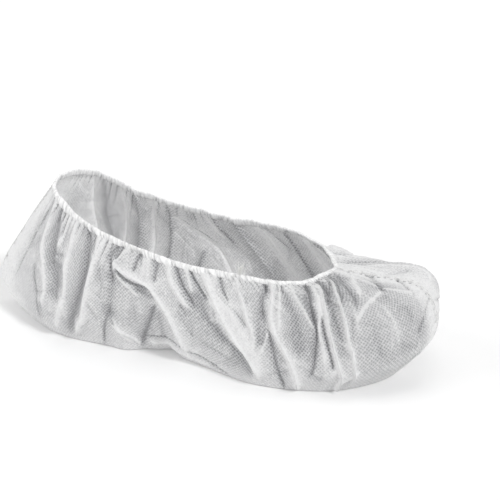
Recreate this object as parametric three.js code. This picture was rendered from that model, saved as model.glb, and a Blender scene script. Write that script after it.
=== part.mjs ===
// A disposable shoe cover, shaped as it sits over a low shoe. Two panels of thin white
// nonwoven cloth are sewn together along the middle of the heel, sole and toe, and a
// gathered elastic hem closes them round the mouth. Nothing fills the hollow.
// Millimetres, +Z up, the toe towards +X and the sole on z = 0.
import * as THREE from "three";

// Driving dimensions.
const FABRIC = 1.2; // thickness of a panel's wall
const GAP = 0.3; // clearance between neighbouring pieces
const SEAM_WIDE = 2; // overlocked seam, across the middle plane
const SEAM_DEEP = 2.6; // overlocked seam, from its inner side to its outer side
const HEM_TALL = 4.5; // elastic hem, along the wall
const HEM_THICK = 3; // elastic hem, through the wall
const BAND_RIM = 0.7; // thickness of the hem and the seam at their rims, as a share
const PANEL_EDGE = SEAM_WIDE / 2 + GAP; // from the middle plane to a panel's sewn edge
const PANEL_GIRTH = 390; // one panel, from heel seam to toe seam round the foot
const PANEL_RISE = 95; // one panel, from the floor up the wall to the hem
const SOLE_MIDDLE = 0.94; // length of the sole's middle line as a share of the foot outline

// Ruffles of the hem on one panel, and how deep they are.
const RUFFLES = 18;
const RUFFLE_MIDDLE = 1.7; // depth about the middle of the foot
const RUFFLE_END = 0.45; // depth at heel and toe
const RUFFLE_PEAK = 0.43; // share of the girth, from the heel, where they are deepest
const RUFFLE_SPREAD = 0.22; // share of the girth over which they grow shallow
const RUFFLE_UNEVEN = 0.45; // share of the depth that the shallower ones lack
const RUFFLE_GROUPS = 5; // runs of shallower ruffles
const RUFFLE_REACH = 0.5; // share of the rise that they run down

// How the folds of the cloth fade out.
const FLOOR_FADE = 0.14; // share of the rise over which folds grow from the floor
const SEAM_FADE = 9; // folds grow over this length from the sewn edges
const FOLD_TAPER = 0.22; // share of a fold's length that each of its ends tapers over

// Fineness of the meshes.
const COLUMNS = 4 * RUFFLES; // each ruffle has a rise, a crest, a fall and a trough
const SOLE_ROWS = 2;
const WALL_ROWS = 12;
const SEAM_STEPS = 14; // steps along each of the heel, the sole and the toe
const PROBE = 1e-3; // step of the differences that give the wall's normals

const OUTER = -1; // the side of the little toe, towards -Y
const INNER = 1; // the side of the big toe, towards +Y

// Cross sections from heel to toe. Each gives the outline of the foot on the floor, the
// widest line of the loose cloth, the shoulder where the cloth turns in over the shoe, and
// the hem's upper edge, as [x, distance out from the sewn edge, z].
const RAILS = ["foot", "belly", "shoulder", "hem"];
const OUTER_SECTIONS = [
  { at: "heel", foot: [-144, 0], belly: [-155, 0, 22], shoulder: [-133, 0, 60], hem: [-108, 0, 97] },
  { at: "heel_corner", foot: [-129, 14], belly: [-135, 20, 21], shoulder: [-121, 21, 59], hem: [-102, 17, 97] },
  { at: "heel_side", foot: [-98, 33], belly: [-101, 41, 23], shoulder: [-95, 39, 58], hem: [-87, 28, 95] },
  { at: "rear_quarter", foot: [-64, 38], belly: [-65, 46, 25], shoulder: [-65, 44, 55], hem: [-66, 33.5, 84] },
  { at: "waist", foot: [-28, 32], belly: [-28, 45, 26], shoulder: [-29, 46, 52], hem: [-32, 37.5, 75.5] },
  { at: "midfoot", foot: [11, 42], belly: [12, 51, 24], shoulder: [9, 49, 50], hem: [5, 40, 70] },
  { at: "ball", foot: [50, 54], belly: [53, 59, 20], shoulder: [47, 51, 48], hem: [38, 39.5, 68.5] },
  { at: "ball_front", foot: [86, 51], belly: [94, 55, 20], shoulder: [82, 45, 50], hem: [62, 33, 65] },
  { at: "toe_side", foot: [110, 40], belly: [124, 43, 21], shoulder: [110, 32, 54], hem: [75, 22, 62.6] },
  { at: "toe_corner", foot: [128, 21], belly: [148, 24, 27], shoulder: [131, 17, 57], hem: [83, 10, 63] },
  { at: "toe", foot: [136, 0], belly: [155, 0, 30], shoulder: [139, 0, 58], hem: [86.6, 0, 63] },
];

// The side of the big toe is fuller at the front, and otherwise the same.
const BIG_TOE = {
  ball_front: { foot: [88, 50], belly: [98, 56, 22], shoulder: [84, 44, 48] },
  toe_side: { foot: [114, 41], belly: [132, 46, 27], shoulder: [118, 35, 53.5] },
  toe_corner: { foot: [130, 25], belly: [149, 27, 32], shoulder: [140, 25, 59] },
};
const INNER_SECTIONS = OUTER_SECTIONS.map((row) => ({ ...row, ...BIG_TOE[row.at] }));

// Folds of the cloth. Each runs through three places on its panel, given as shares
// [along from heel to toe, up from floor to hem], and stands out (rise above 0) as a ridge
// or lies in (rise below 0) as a hollow, half as wide as the column "half" says.
const OUTER_FOLDS = [
  { name: "heel_bag_dent", from: [0.13, 0.9], via: [0.1, 0.62], to: [0.08, 0.35], half: 10, rise: -1.6 },
  { name: "heel_bag_ridge", from: [0.155, 1.05], via: [0.166, 0.74], to: [0.2, 0.5], half: 7, rise: 2 },
  { name: "ankle_hollow", from: [0.183, 1.05], via: [0.2, 0.7], to: [0.228, 0.4], half: 9, rise: -3.2 },
  { name: "quarter_ridge", from: [0.256, 1.05], via: [0.247, 0.6], to: [0.22, 0.12], half: 7, rise: 2.4 },
  { name: "quarter_valley", from: [0.288, 1.08], via: [0.284, 0.62], to: [0.242, 0.06], half: 7, rise: -3.6 },
  { name: "rear_ridge", from: [0.326, 1.05], via: [0.3, 0.6], to: [0.272, 0.15], half: 7, rise: 2.6 },
  { name: "rear_crease", from: [0.356, 1.05], via: [0.345, 0.6], to: [0.313, 0.02], half: 7, rise: -3.2 },
  { name: "waist_sash", from: [0.335, 0.82], via: [0.42, 0.66], to: [0.47, 0.12], half: 7, rise: 3.2 },
  { name: "waist_notch", from: [0.433, 0.58], via: [0.413, 0.35], to: [0.386, 0], half: 8, rise: -4.2 },
  { name: "arch_flap", from: [0.4, 0.17], via: [0.465, 0.17], to: [0.545, 0.04], half: 7, rise: 1.8 },
  { name: "hem_slit", from: [0.468, 1.08], via: [0.478, 0.78], to: [0.505, 0.56], half: 6, rise: -2.4 },
  { name: "vamp_valley", from: [0.5, 1.02], via: [0.53, 0.55], to: [0.6, 0.14], half: 9, rise: -4.6 },
  { name: "vamp_ridge", from: [0.53, 1.08], via: [0.552, 0.64], to: [0.602, 0.3], half: 8, rise: 3.6 },
  { name: "ball_crease", from: [0.655, 1.02], via: [0.62, 0.64], to: [0.645, 0.08], half: 7, rise: -2.8 },
  { name: "ball_ridge", from: [0.675, 1.05], via: [0.643, 0.62], to: [0.668, 0.18], half: 7, rise: 3 },
  { name: "ball_hollow", from: [0.69, 0.9], via: [0.678, 0.64], to: [0.676, 0.34], half: 9, rise: -2.2 },
  { name: "toe_first_valley", from: [0.768, 1.05], via: [0.71, 0.68], to: [0.69, 0.22], half: 7, rise: -3.4 },
  { name: "toe_main_ridge", from: [0.8, 1.05], via: [0.736, 0.62], to: [0.757, 0.12], half: 7, rise: 3.4 },
  { name: "toe_second_valley", from: [0.835, 1.02], via: [0.757, 0.7], to: [0.755, 0.35], half: 7, rise: -2 },
  { name: "toe_third_valley", from: [0.94, 1.02], via: [0.84, 0.82], to: [0.79, 0.6], half: 7, rise: -2.2 },
  { name: "toe_cap_dent", from: [0.9, 0.74], via: [0.95, 0.8], to: [0.995, 0.86], half: 8, rise: -1.8 },
  { name: "toe_front_crease", from: [0.88, 0.4], via: [0.94, 0.5], to: [0.995, 0.55], half: 7, rise: -1.6 },
];
const INNER_FOLDS = [
  { name: "heel_bag_dent", from: [0.14, 0.92], via: [0.11, 0.6], to: [0.09, 0.32], half: 10, rise: -1.8 },
  { name: "heel_ridge", from: [0.17, 1.05], via: [0.18, 0.7], to: [0.205, 0.4], half: 7, rise: 2.2 },
  { name: "ankle_hollow", from: [0.205, 1.05], via: [0.215, 0.68], to: [0.24, 0.35], half: 9, rise: -3 },
  { name: "quarter_ridge", from: [0.25, 1.05], via: [0.256, 0.6], to: [0.235, 0.2], half: 7, rise: 2.6 },
  { name: "quarter_valley", from: [0.3, 1.08], via: [0.29, 0.6], to: [0.26, 0.08], half: 7, rise: -3.4 },
  { name: "rear_ridge", from: [0.335, 1.05], via: [0.32, 0.62], to: [0.3, 0.2], half: 7, rise: 2.6 },
  { name: "rear_crease", from: [0.37, 1.05], via: [0.36, 0.66], to: [0.335, 0.1], half: 7, rise: -3.2 },
  { name: "waist_sash", from: [0.36, 0.8], via: [0.43, 0.6], to: [0.48, 0.14], half: 7, rise: 3 },
  { name: "waist_notch", from: [0.42, 0.55], via: [0.41, 0.3], to: [0.4, 0], half: 8, rise: -3.6 },
  { name: "hem_slit", from: [0.45, 1.08], via: [0.458, 0.8], to: [0.485, 0.56], half: 6, rise: -2.2 },
  { name: "vamp_valley", from: [0.49, 1.05], via: [0.515, 0.6], to: [0.565, 0.15], half: 9, rise: -4.2 },
  { name: "vamp_ridge", from: [0.53, 1.08], via: [0.55, 0.62], to: [0.59, 0.22], half: 8, rise: 3.2 },
  { name: "ball_crease", from: [0.6, 1.05], via: [0.6, 0.62], to: [0.625, 0.12], half: 7, rise: -2.8 },
  { name: "ball_ridge", from: [0.64, 1.05], via: [0.63, 0.6], to: [0.655, 0.18], half: 7, rise: 2.8 },
  { name: "ball_hollow", from: [0.69, 1.02], via: [0.67, 0.62], to: [0.68, 0.28], half: 9, rise: -2.4 },
  { name: "toe_ridge", from: [0.76, 1.05], via: [0.71, 0.66], to: [0.725, 0.18], half: 7, rise: 3 },
  { name: "toe_valley", from: [0.81, 1.05], via: [0.75, 0.68], to: [0.755, 0.28], half: 7, rise: -2.6 },
  { name: "toe_second_ridge", from: [0.87, 1.02], via: [0.795, 0.7], to: [0.79, 0.32], half: 7, rise: 2 },
  { name: "toe_third_valley", from: [0.94, 1.02], via: [0.86, 0.8], to: [0.83, 0.55], half: 7, rise: -2 },
];

const smooth = (low, high, value) => THREE.MathUtils.smoothstep(value, low, high);
const curveThrough = (points) => new THREE.CatmullRomCurve3(points, false, "catmullrom", 0.5);

// One panel's side, the four rails that its sections set out, and its folds.
function layOut(side, sections, folds) {
  const placed = ([x, out, z = 0]) => new THREE.Vector3(x, side * (PANEL_EDGE + out), z);
  const rails = RAILS.map((rail) => curveThrough(sections.map((row) => placed(row[rail]))));
  return { side, rails, folds };
}

// The smooth form of a panel's wall, without folds, at shares along and up.
function smoothWall({ rails }, along, up) {
  return curveThrough(rails.map((rail) => rail.getPoint(along))).getPoint(up);
}

// The outward normal of that form. At a sewn edge it keeps to the middle plane, so that
// the cut edge is flat there.
function wallNormal(panel, along, up) {
  const [back, front] = [Math.max(along - PROBE, 0), Math.min(along + PROBE, 1)];
  const [low, high] = [Math.max(up - PROBE, 0), Math.min(up + PROBE, 1)];
  const forwards = smoothWall(panel, front, up).sub(smoothWall(panel, back, up));
  const upwards = smoothWall(panel, along, high).sub(smoothWall(panel, along, low));
  const normal = forwards.cross(upwards).multiplyScalar(-panel.side);
  if (along === 0 || along === 1) normal.y = 0;
  return normal.normalize();
}

// How far a place lies from a fold's line on the cloth laid flat, and how far along the
// fold it is, as a share of the fold's length.
function nearestOnFold({ from, via, to }, along, up) {
  const flat = ([a, u]) => new THREE.Vector3(a * PANEL_GIRTH, u * PANEL_RISE, 0);
  const place = flat([along, up]);
  const legs = [new THREE.Line3(flat(from), flat(via)), new THREE.Line3(flat(via), flat(to))];
  const lengths = legs.map((leg) => leg.distance());
  const found = legs.map((leg, i) => {
    const share = leg.closestPointToPointParameter(place, true);
    const passed = i * lengths[0] + share * lengths[i];
    return { away: leg.at(share, new THREE.Vector3()).distanceTo(place), passed };
  });
  const nearest = found[0].away <= found[1].away ? found[0] : found[1];
  return { away: nearest.away, share: nearest.passed / (lengths[0] + lengths[1]) };
}

// A fold's own relief: a rounded bell across it, tapered towards both ends.
function foldRelief(fold, along, up) {
  const { away, share } = nearestOnFold(fold, along, up);
  const taper = smooth(0, FOLD_TAPER, share) * smooth(0, FOLD_TAPER, 1 - share);
  return fold.rise * taper * Math.exp(-((away / fold.half) ** 2));
}

// The ruffles that the elastic gathers the cloth into: deepest at the hem and about the
// middle of the foot, with every few of them a little shallower.
function ruffleRelief(along, up) {
  const middling = Math.exp(-(((along - RUFFLE_PEAK) / RUFFLE_SPREAD) ** 2));
  const depth = THREE.MathUtils.lerp(RUFFLE_END, RUFFLE_MIDDLE, middling);
  const uneven = 1 - RUFFLE_UNEVEN * Math.sin(Math.PI * RUFFLE_GROUPS * along) ** 2;
  const reach = smooth(1 - RUFFLE_REACH, 1, up);
  return depth * uneven * reach * Math.sin(2 * Math.PI * RUFFLES * along);
}

// The height of the cloth over its smooth form, from all its folds and ruffles together.
function relief(panel, along, up) {
  const folds = panel.folds.reduce((sum, fold) => sum + foldRelief(fold, along, up), 0);
  const fromSeam = PANEL_GIRTH * Math.min(along, 1 - along);
  const fade = smooth(0, FLOOR_FADE, up) * smooth(0, SEAM_FADE, fromSeam);
  return fade * (folds + ruffleRelief(along, up));
}

// The outer face of a panel's wall, with its folds.
function wallPoint(panel, along, up) {
  const height = relief(panel, along, up);
  const point = smoothWall(panel, along, up).addScaledVector(wallNormal(panel, along, up), height);
  point.z = Math.max(point.z, 0);
  return point;
}

// The share up the wall where a panel ends, just under the hem. The wall's curve has equal
// shares for its stretches between rails, so there it runs as long as the last of them, from
// shoulder to hem, would be if all were alike.
function panelTop({ rails }, along) {
  const [shoulder, hem] = rails.slice(-2).map((rail) => rail.getPoint(along));
  const stretches = rails.length - 1;
  return 1 - (HEM_TALL + GAP) / (stretches * shoulder.distanceTo(hem));
}

// The direction in which the wall runs into the hem.
function hemDirection(panel, along) {
  return smoothWall(panel, along, 1).sub(smoothWall(panel, along, 1 - PROBE)).normalize();
}

// The middle line of the sole under a place along the foot outline.
function soleMiddle({ side, rails }, along) {
  const foot = rails[0].getPoint(along);
  return new THREE.Vector3(SOLE_MIDDLE * foot.x, side * PANEL_EDGE, 0);
}

// A closed geometry from vertices and the corners of its triangles.
function solid(points, triangles) {
  const geometry = new THREE.BufferGeometry().setFromPoints(points);
  geometry.setIndex(triangles.flat());
  geometry.computeVertexNormals();
  return geometry;
}

const quad = (a, b, c, d) => [a, b, c, a, c, d];

// A wall between an outer and an inner grid of points of equal size, closed round its four
// edges. Rows and columns run so that the outer face's front is seen from outside.
function wallSolid(outer, inner, turned) {
  const rows = outer.length;
  const columns = outer[0].length;
  const out = (r, c) => r * columns + c;
  const back = (r, c) => rows * columns + out(r, c);
  const faces = [];
  for (let r = 0; r + 1 < rows; r++) {
    for (let c = 0; c + 1 < columns; c++) {
      faces.push(quad(out(r, c), out(r, c + 1), out(r + 1, c + 1), out(r + 1, c)));
      faces.push(quad(back(r, c), back(r + 1, c), back(r + 1, c + 1), back(r, c + 1)));
    }
    const last = columns - 1;
    faces.push(quad(out(r, 0), out(r + 1, 0), back(r + 1, 0), back(r, 0)));
    faces.push(quad(out(r, last), back(r, last), back(r + 1, last), out(r + 1, last)));
  }
  for (let c = 0; c + 1 < columns; c++) {
    const top = rows - 1;
    faces.push(quad(out(0, c), back(0, c), back(0, c + 1), out(0, c + 1)));
    faces.push(quad(out(top, c), out(top, c + 1), back(top, c + 1), back(top, c)));
  }
  const points = [...outer.flat(), ...inner.flat()];
  return solid(points, turned ? faces.map((face) => face.toReversed()) : faces);
}

// One panel: half the sole, flat on the floor, then the wall up to just under the hem.
function panelGeometry(panel) {
  const columns = Array.from({ length: COLUMNS + 1 }, (_, c) => c / COLUMNS);
  const soleRows = Array.from({ length: SOLE_ROWS }, (_, r) =>
    columns.map((along) => {
      const foot = panel.rails[0].getPoint(along);
      return soleMiddle(panel, along).lerp(foot, r / SOLE_ROWS);
    }),
  );
  const wallRows = Array.from({ length: WALL_ROWS + 1 }, (_, r) =>
    columns.map((along) => {
      const top = panelTop(panel, along);
      return wallPoint(panel, along, (top * r) / WALL_ROWS);
    }),
  );
  const outer = [...soleRows, ...wallRows];
  const normals = outer.map((row, r) => row.map((_, c) => gridNormal(panel, outer, r, c)));
  const inner = outer.map((row, r) =>
    row.map((point, c) => point.clone().addScaledVector(normals[r][c], -FABRIC)),
  );
  return wallSolid(outer, inner, panel.side === INNER);
}

// The outward normal of a panel's grid of points, from the neighbours of one of them:
// straight down on the sole, level with the middle plane along the sewn edges, and square
// to the hem along the upper edge.
function gridNormal(panel, grid, r, c) {
  if (r < SOLE_ROWS) return new THREE.Vector3(0, 0, -1);
  const top = grid.length - 1;
  const pick = (row, column) => grid[row][THREE.MathUtils.clamp(column, 0, COLUMNS)];
  const upwards = pick(Math.min(r + 1, top), c).clone().sub(pick(r - 1, c));
  const forwards = pick(r, c + 1).clone().sub(pick(r, c - 1));
  const normal = forwards.cross(upwards).multiplyScalar(-panel.side);
  if (r === top) normal.projectOnPlane(hemDirection(panel, c / COLUMNS));
  if (c === 0 || c === COLUMNS) normal.y = 0;
  return normal.normalize();
}

// A tube: a flat profile of [across, out] carried along a path, by the two directions that
// each step of the path gives. A closed path joins its ends, an open one is capped.
function tubeSolid(steps, profile, closed) {
  const sides = profile.length;
  const points = steps.flatMap(({ centre, across, out }) =>
    profile.map(([a, o]) => centre.clone().addScaledVector(across, a).addScaledVector(out, o)),
  );
  const faces = [];
  const spans = closed ? steps.length : steps.length - 1;
  for (let s = 0; s < spans; s++) {
    const [here, next] = [s * sides, ((s + 1) % steps.length) * sides];
    for (let i = 0; i < sides; i++) {
      const j = (i + 1) % sides;
      faces.push(quad(here + i, here + j, next + j, next + i));
    }
  }
  for (let i = 1; i + 1 < sides && !closed; i++) {
    const end = (steps.length - 1) * sides;
    faces.push([0, i + 1, i], [end, end + i, end + i + 1]);
  }
  return solid(points, faces);
}

// The steps of a tube: each centre, the direction across its band, and the outward one that
// is square to the path and to it.
function framed(centres, acrosses, closed) {
  const last = centres.length - 1;
  return centres.map((centre, i) => {
    const before = centres[i > 0 ? i - 1 : closed ? last : 0];
    const after = centres[i < last ? i + 1 : closed ? 0 : last];
    const out = after.clone().sub(before).cross(acrosses[i]).normalize();
    return { centre, across: acrosses[i], out };
  });
}

// A band section, "wide" by "thick", with six corners and thinner at its rims.
function bandProfile(wide, thick) {
  const [w, t] = [wide / 2, thick / 2];
  const rim = BAND_RIM * t;
  return [[-w, -rim], [0, -t], [w, -rim], [w, rim], [0, t], [-w, rim]];
}

// The elastic hem: a band that follows both panels' ruffled edges round the mouth.
function hemGeometry(panels) {
  const stops = panels.flatMap((panel) => {
    const places = Array.from({ length: COLUMNS + 1 }, (_, c) => ({ panel, along: c / COLUMNS }));
    return panel.side === OUTER ? places : places.reverse();
  });
  const acrosses = stops.map(({ panel, along }) => hemDirection(panel, along));
  const centres = stops.map(({ panel, along }, i) =>
    wallPoint(panel, along, panelTop(panel, along)).addScaledVector(acrosses[i], GAP + HEM_TALL / 2),
  );
  const steps = framed(centres, acrosses, true);
  return tubeSolid(steps, bandProfile(HEM_TALL, HEM_THICK), true);
}

// The overlocked seam: a rib in the middle plane from the hem down the heel, along the
// sole and up over the toe to the hem again.
function seamGeometry(panel) {
  const shares = Array.from({ length: SEAM_STEPS + 1 }, (_, s) => s / SEAM_STEPS);
  const climb = (along) => {
    const top = panelTop(panel, along);
    return shares.map((share) => smoothWall(panel, along, share * top).setY(0));
  };
  const heel = climb(0).reverse();
  const toe = climb(1);
  const underfoot = shares.slice(1, -1).map((share) => heel.at(-1).clone().lerp(toe[0], share));
  const path = [...heel, ...underfoot, ...toe];
  path.forEach((point) => (point.z = Math.max(point.z, SEAM_DEEP / 2)));
  const across = new THREE.Vector3(0, -1, 0);
  const steps = framed(path, path.map(() => across), false);
  return tubeSolid(steps, bandProfile(SEAM_WIDE, SEAM_DEEP), false);
}

function piece(name, geometry, color, roughness) {
  const mesh = new THREE.Mesh(
    geometry,
    new THREE.MeshStandardMaterial({ color, roughness, metalness: 0 }),
  );
  mesh.name = name;
  return mesh;
}

const outerPanel = layOut(OUTER, OUTER_SECTIONS, OUTER_FOLDS);
const innerPanel = layOut(INNER, INNER_SECTIONS, INNER_FOLDS);

const shoeCover = new THREE.Group();
shoeCover.name = "shoe_cover";
shoeCover.add(
  piece("outer_panel", panelGeometry(outerPanel), "#e4e5e6", 0.85),
  piece("inner_panel", panelGeometry(innerPanel), "#e4e5e6", 0.85),
  piece("centre_seam", seamGeometry(outerPanel), "#eeeeee", 0.8),
  piece("elastic_hem", hemGeometry([outerPanel, innerPanel]), "#f7f7f7", 0.75),
);

export default shoeCover;
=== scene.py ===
"""The looks of a disposable shoe cover of white nonwoven cloth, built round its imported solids.

Sizes and tables are in millimetres, meshes in metres. The toe points to +X, the side of the big toe
to +Y, and the sole lies on z = 0. A pair of sizes with no comment is the least and the most.
"""

import logging
from collections.abc import Callable, Mapping, Sequence
from dataclasses import dataclass, field
from enum import Enum
from functools import partial
from typing import ClassVar

import bpy
import numpy as np
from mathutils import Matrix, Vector


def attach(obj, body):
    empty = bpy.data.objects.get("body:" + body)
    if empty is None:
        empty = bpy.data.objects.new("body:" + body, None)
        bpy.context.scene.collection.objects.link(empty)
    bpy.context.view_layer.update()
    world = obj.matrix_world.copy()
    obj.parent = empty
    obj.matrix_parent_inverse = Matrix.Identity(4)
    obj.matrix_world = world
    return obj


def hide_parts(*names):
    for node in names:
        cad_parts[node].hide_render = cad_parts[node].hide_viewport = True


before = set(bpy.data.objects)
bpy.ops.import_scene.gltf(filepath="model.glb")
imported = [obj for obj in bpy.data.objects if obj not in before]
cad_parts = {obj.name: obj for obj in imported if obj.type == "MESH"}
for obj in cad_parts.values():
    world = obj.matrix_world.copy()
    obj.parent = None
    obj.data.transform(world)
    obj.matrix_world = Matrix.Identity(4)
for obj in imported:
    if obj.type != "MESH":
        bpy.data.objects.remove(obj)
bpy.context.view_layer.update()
LOG = logging.getLogger("shoe_cover")
MM = 0.001
TURN = 2 * np.pi
ACROSS = (0.0, 1.0, 0.0)  # square to the middle plane
SHARES = (1000, 100)  # the parts in which places of folds count, along and up
SWAY = 7.0  # how far the toe seam is pulled towards the big toe
SWAY_FRONT = (118, 150)  # x where the pull starts and where it is full
SWAY_UP = (5, 45)  # z, likewise
SWAY_REACH = 22  # y over which the pull dies away
DRIFTS = ((0.55, 3.3), (0.3, 8.7))  # how far uneven waves are pushed to and fro, and how often
FROM, TO = 6, 7  # the inputs of a Mix node that hold its colours
BLEND = {"output": 2, "data_type": "RGBA"}  # what makes a Mix node blend colours
THREAD_SIDES = 5
THREAD_SLACK = 2.6  # length of overlock thread for each length of seam

Pair = tuple[float, float]
Triple = tuple[float, float, float]
Edges = tuple[float, float, float, float]


class Side(Enum):
    """The two panels, as the sign of Y on which they lie."""

    OUTER = -1
    INNER = 1


class Form(Enum):
    """How a grid of points closes."""

    SHEET = "open all round"
    TUBE = "closed around, with both ends capped"
    RING = "closed around and along"


@dataclass(frozen=True)
class Section:
    """A cross section of the cover, as x, distance out from the sewn edge, and z of four lines.

    Foot is the outline on the floor, belly the widest line of the loose cloth, shoulder the line where
    the cloth turns in, and hem the upper edge of the hem.
    """

    at: str
    foot: Triple
    belly: Triple
    shoulder: Triple
    hem: Triple


@dataclass(frozen=True)
class Bulge:
    """A place where the foot outline stands out, or lies in where its shift is below 0."""

    at: float  # share along from heel to toe
    reach: float  # share along over which it dies away
    shift: float


@dataclass(frozen=True)
class Fold:
    """A crease of the cloth through places on its panel.

    A place is thousandths along from heel to toe and hundredths up from floor to hem. The crease stands
    out where rise is above 0 and lies in where it is below. Heelward and toeward are the distances over
    which it falls away on its two sides, and bend is the radius of its crest.
    """

    name: str
    rise: float
    heelward: float
    toeward: float
    bend: float
    path: tuple[Pair, ...]


OUTER_SECTIONS = (
    Section("heel", (-144, 0, 0), (-155.5, 0, 24), (-133.5, 0, 62), (-105, 0, 102)),
    Section("heel_corner", (-129, 14, 0), (-135.5, 20, 22), (-121.5, 21, 60), (-100, 17, 100)),
    Section("heel_side", (-98, 33, 0), (-101, 41, 23), (-95, 39, 58), (-87, 28, 95)),
    Section("rear_quarter", (-64, 38, 0), (-65, 46, 25), (-65, 44, 55), (-66, 33.5, 84)),
    Section("waist", (-28, 32, 0), (-28, 45, 26), (-29, 46, 52), (-32, 37.5, 75.5)),
    Section("midfoot", (11, 42, 0), (12, 51, 24), (9, 49, 50), (5, 40, 70)),
    Section("ball", (50, 54, 0), (53, 59, 20), (47, 51, 48), (38, 39.5, 68.5)),
    Section("ball_front", (86, 51, 0), (94, 55, 20), (82, 45, 50), (62, 33, 65)),
    Section("toe_side", (110, 40, 0), (124, 43, 21), (110, 32, 54), (75, 22, 62.6)),
    Section("toe_corner", (128, 21, 0), (148, 24, 27), (131, 17, 57), (81.3, 10.5, 63)),
    Section("toe", (136, 0, 0), (155, 0, 30), (139, 0, 58), (86.6, 0, 63)),
)

# The side of the big toe is fuller at the front, and otherwise the same.
BIG_TOE = {
    "ball_front": Section("ball_front", (88, 50, 0), (98, 56, 22), (84, 44, 48), (62, 33, 65)),
    "toe_side": Section("toe_side", (114, 41, 0), (132, 46, 27), (118, 35, 53.5), (75, 22, 62.6)),
    "toe_corner": Section("toe_corner", (130, 25, 0), (149, 27, 32), (140, 25, 59), (81.3, 10.5, 63)),
}
INNER_SECTIONS = tuple(BIG_TOE.get(row.at, row) for row in OUTER_SECTIONS)

# The cloth bags out behind the waist, and is pulled in under it.
WAIST_BULGES = (Bulge(0.362, 0.03, 6.5), Bulge(0.438, 0.017, -6.0))

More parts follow.
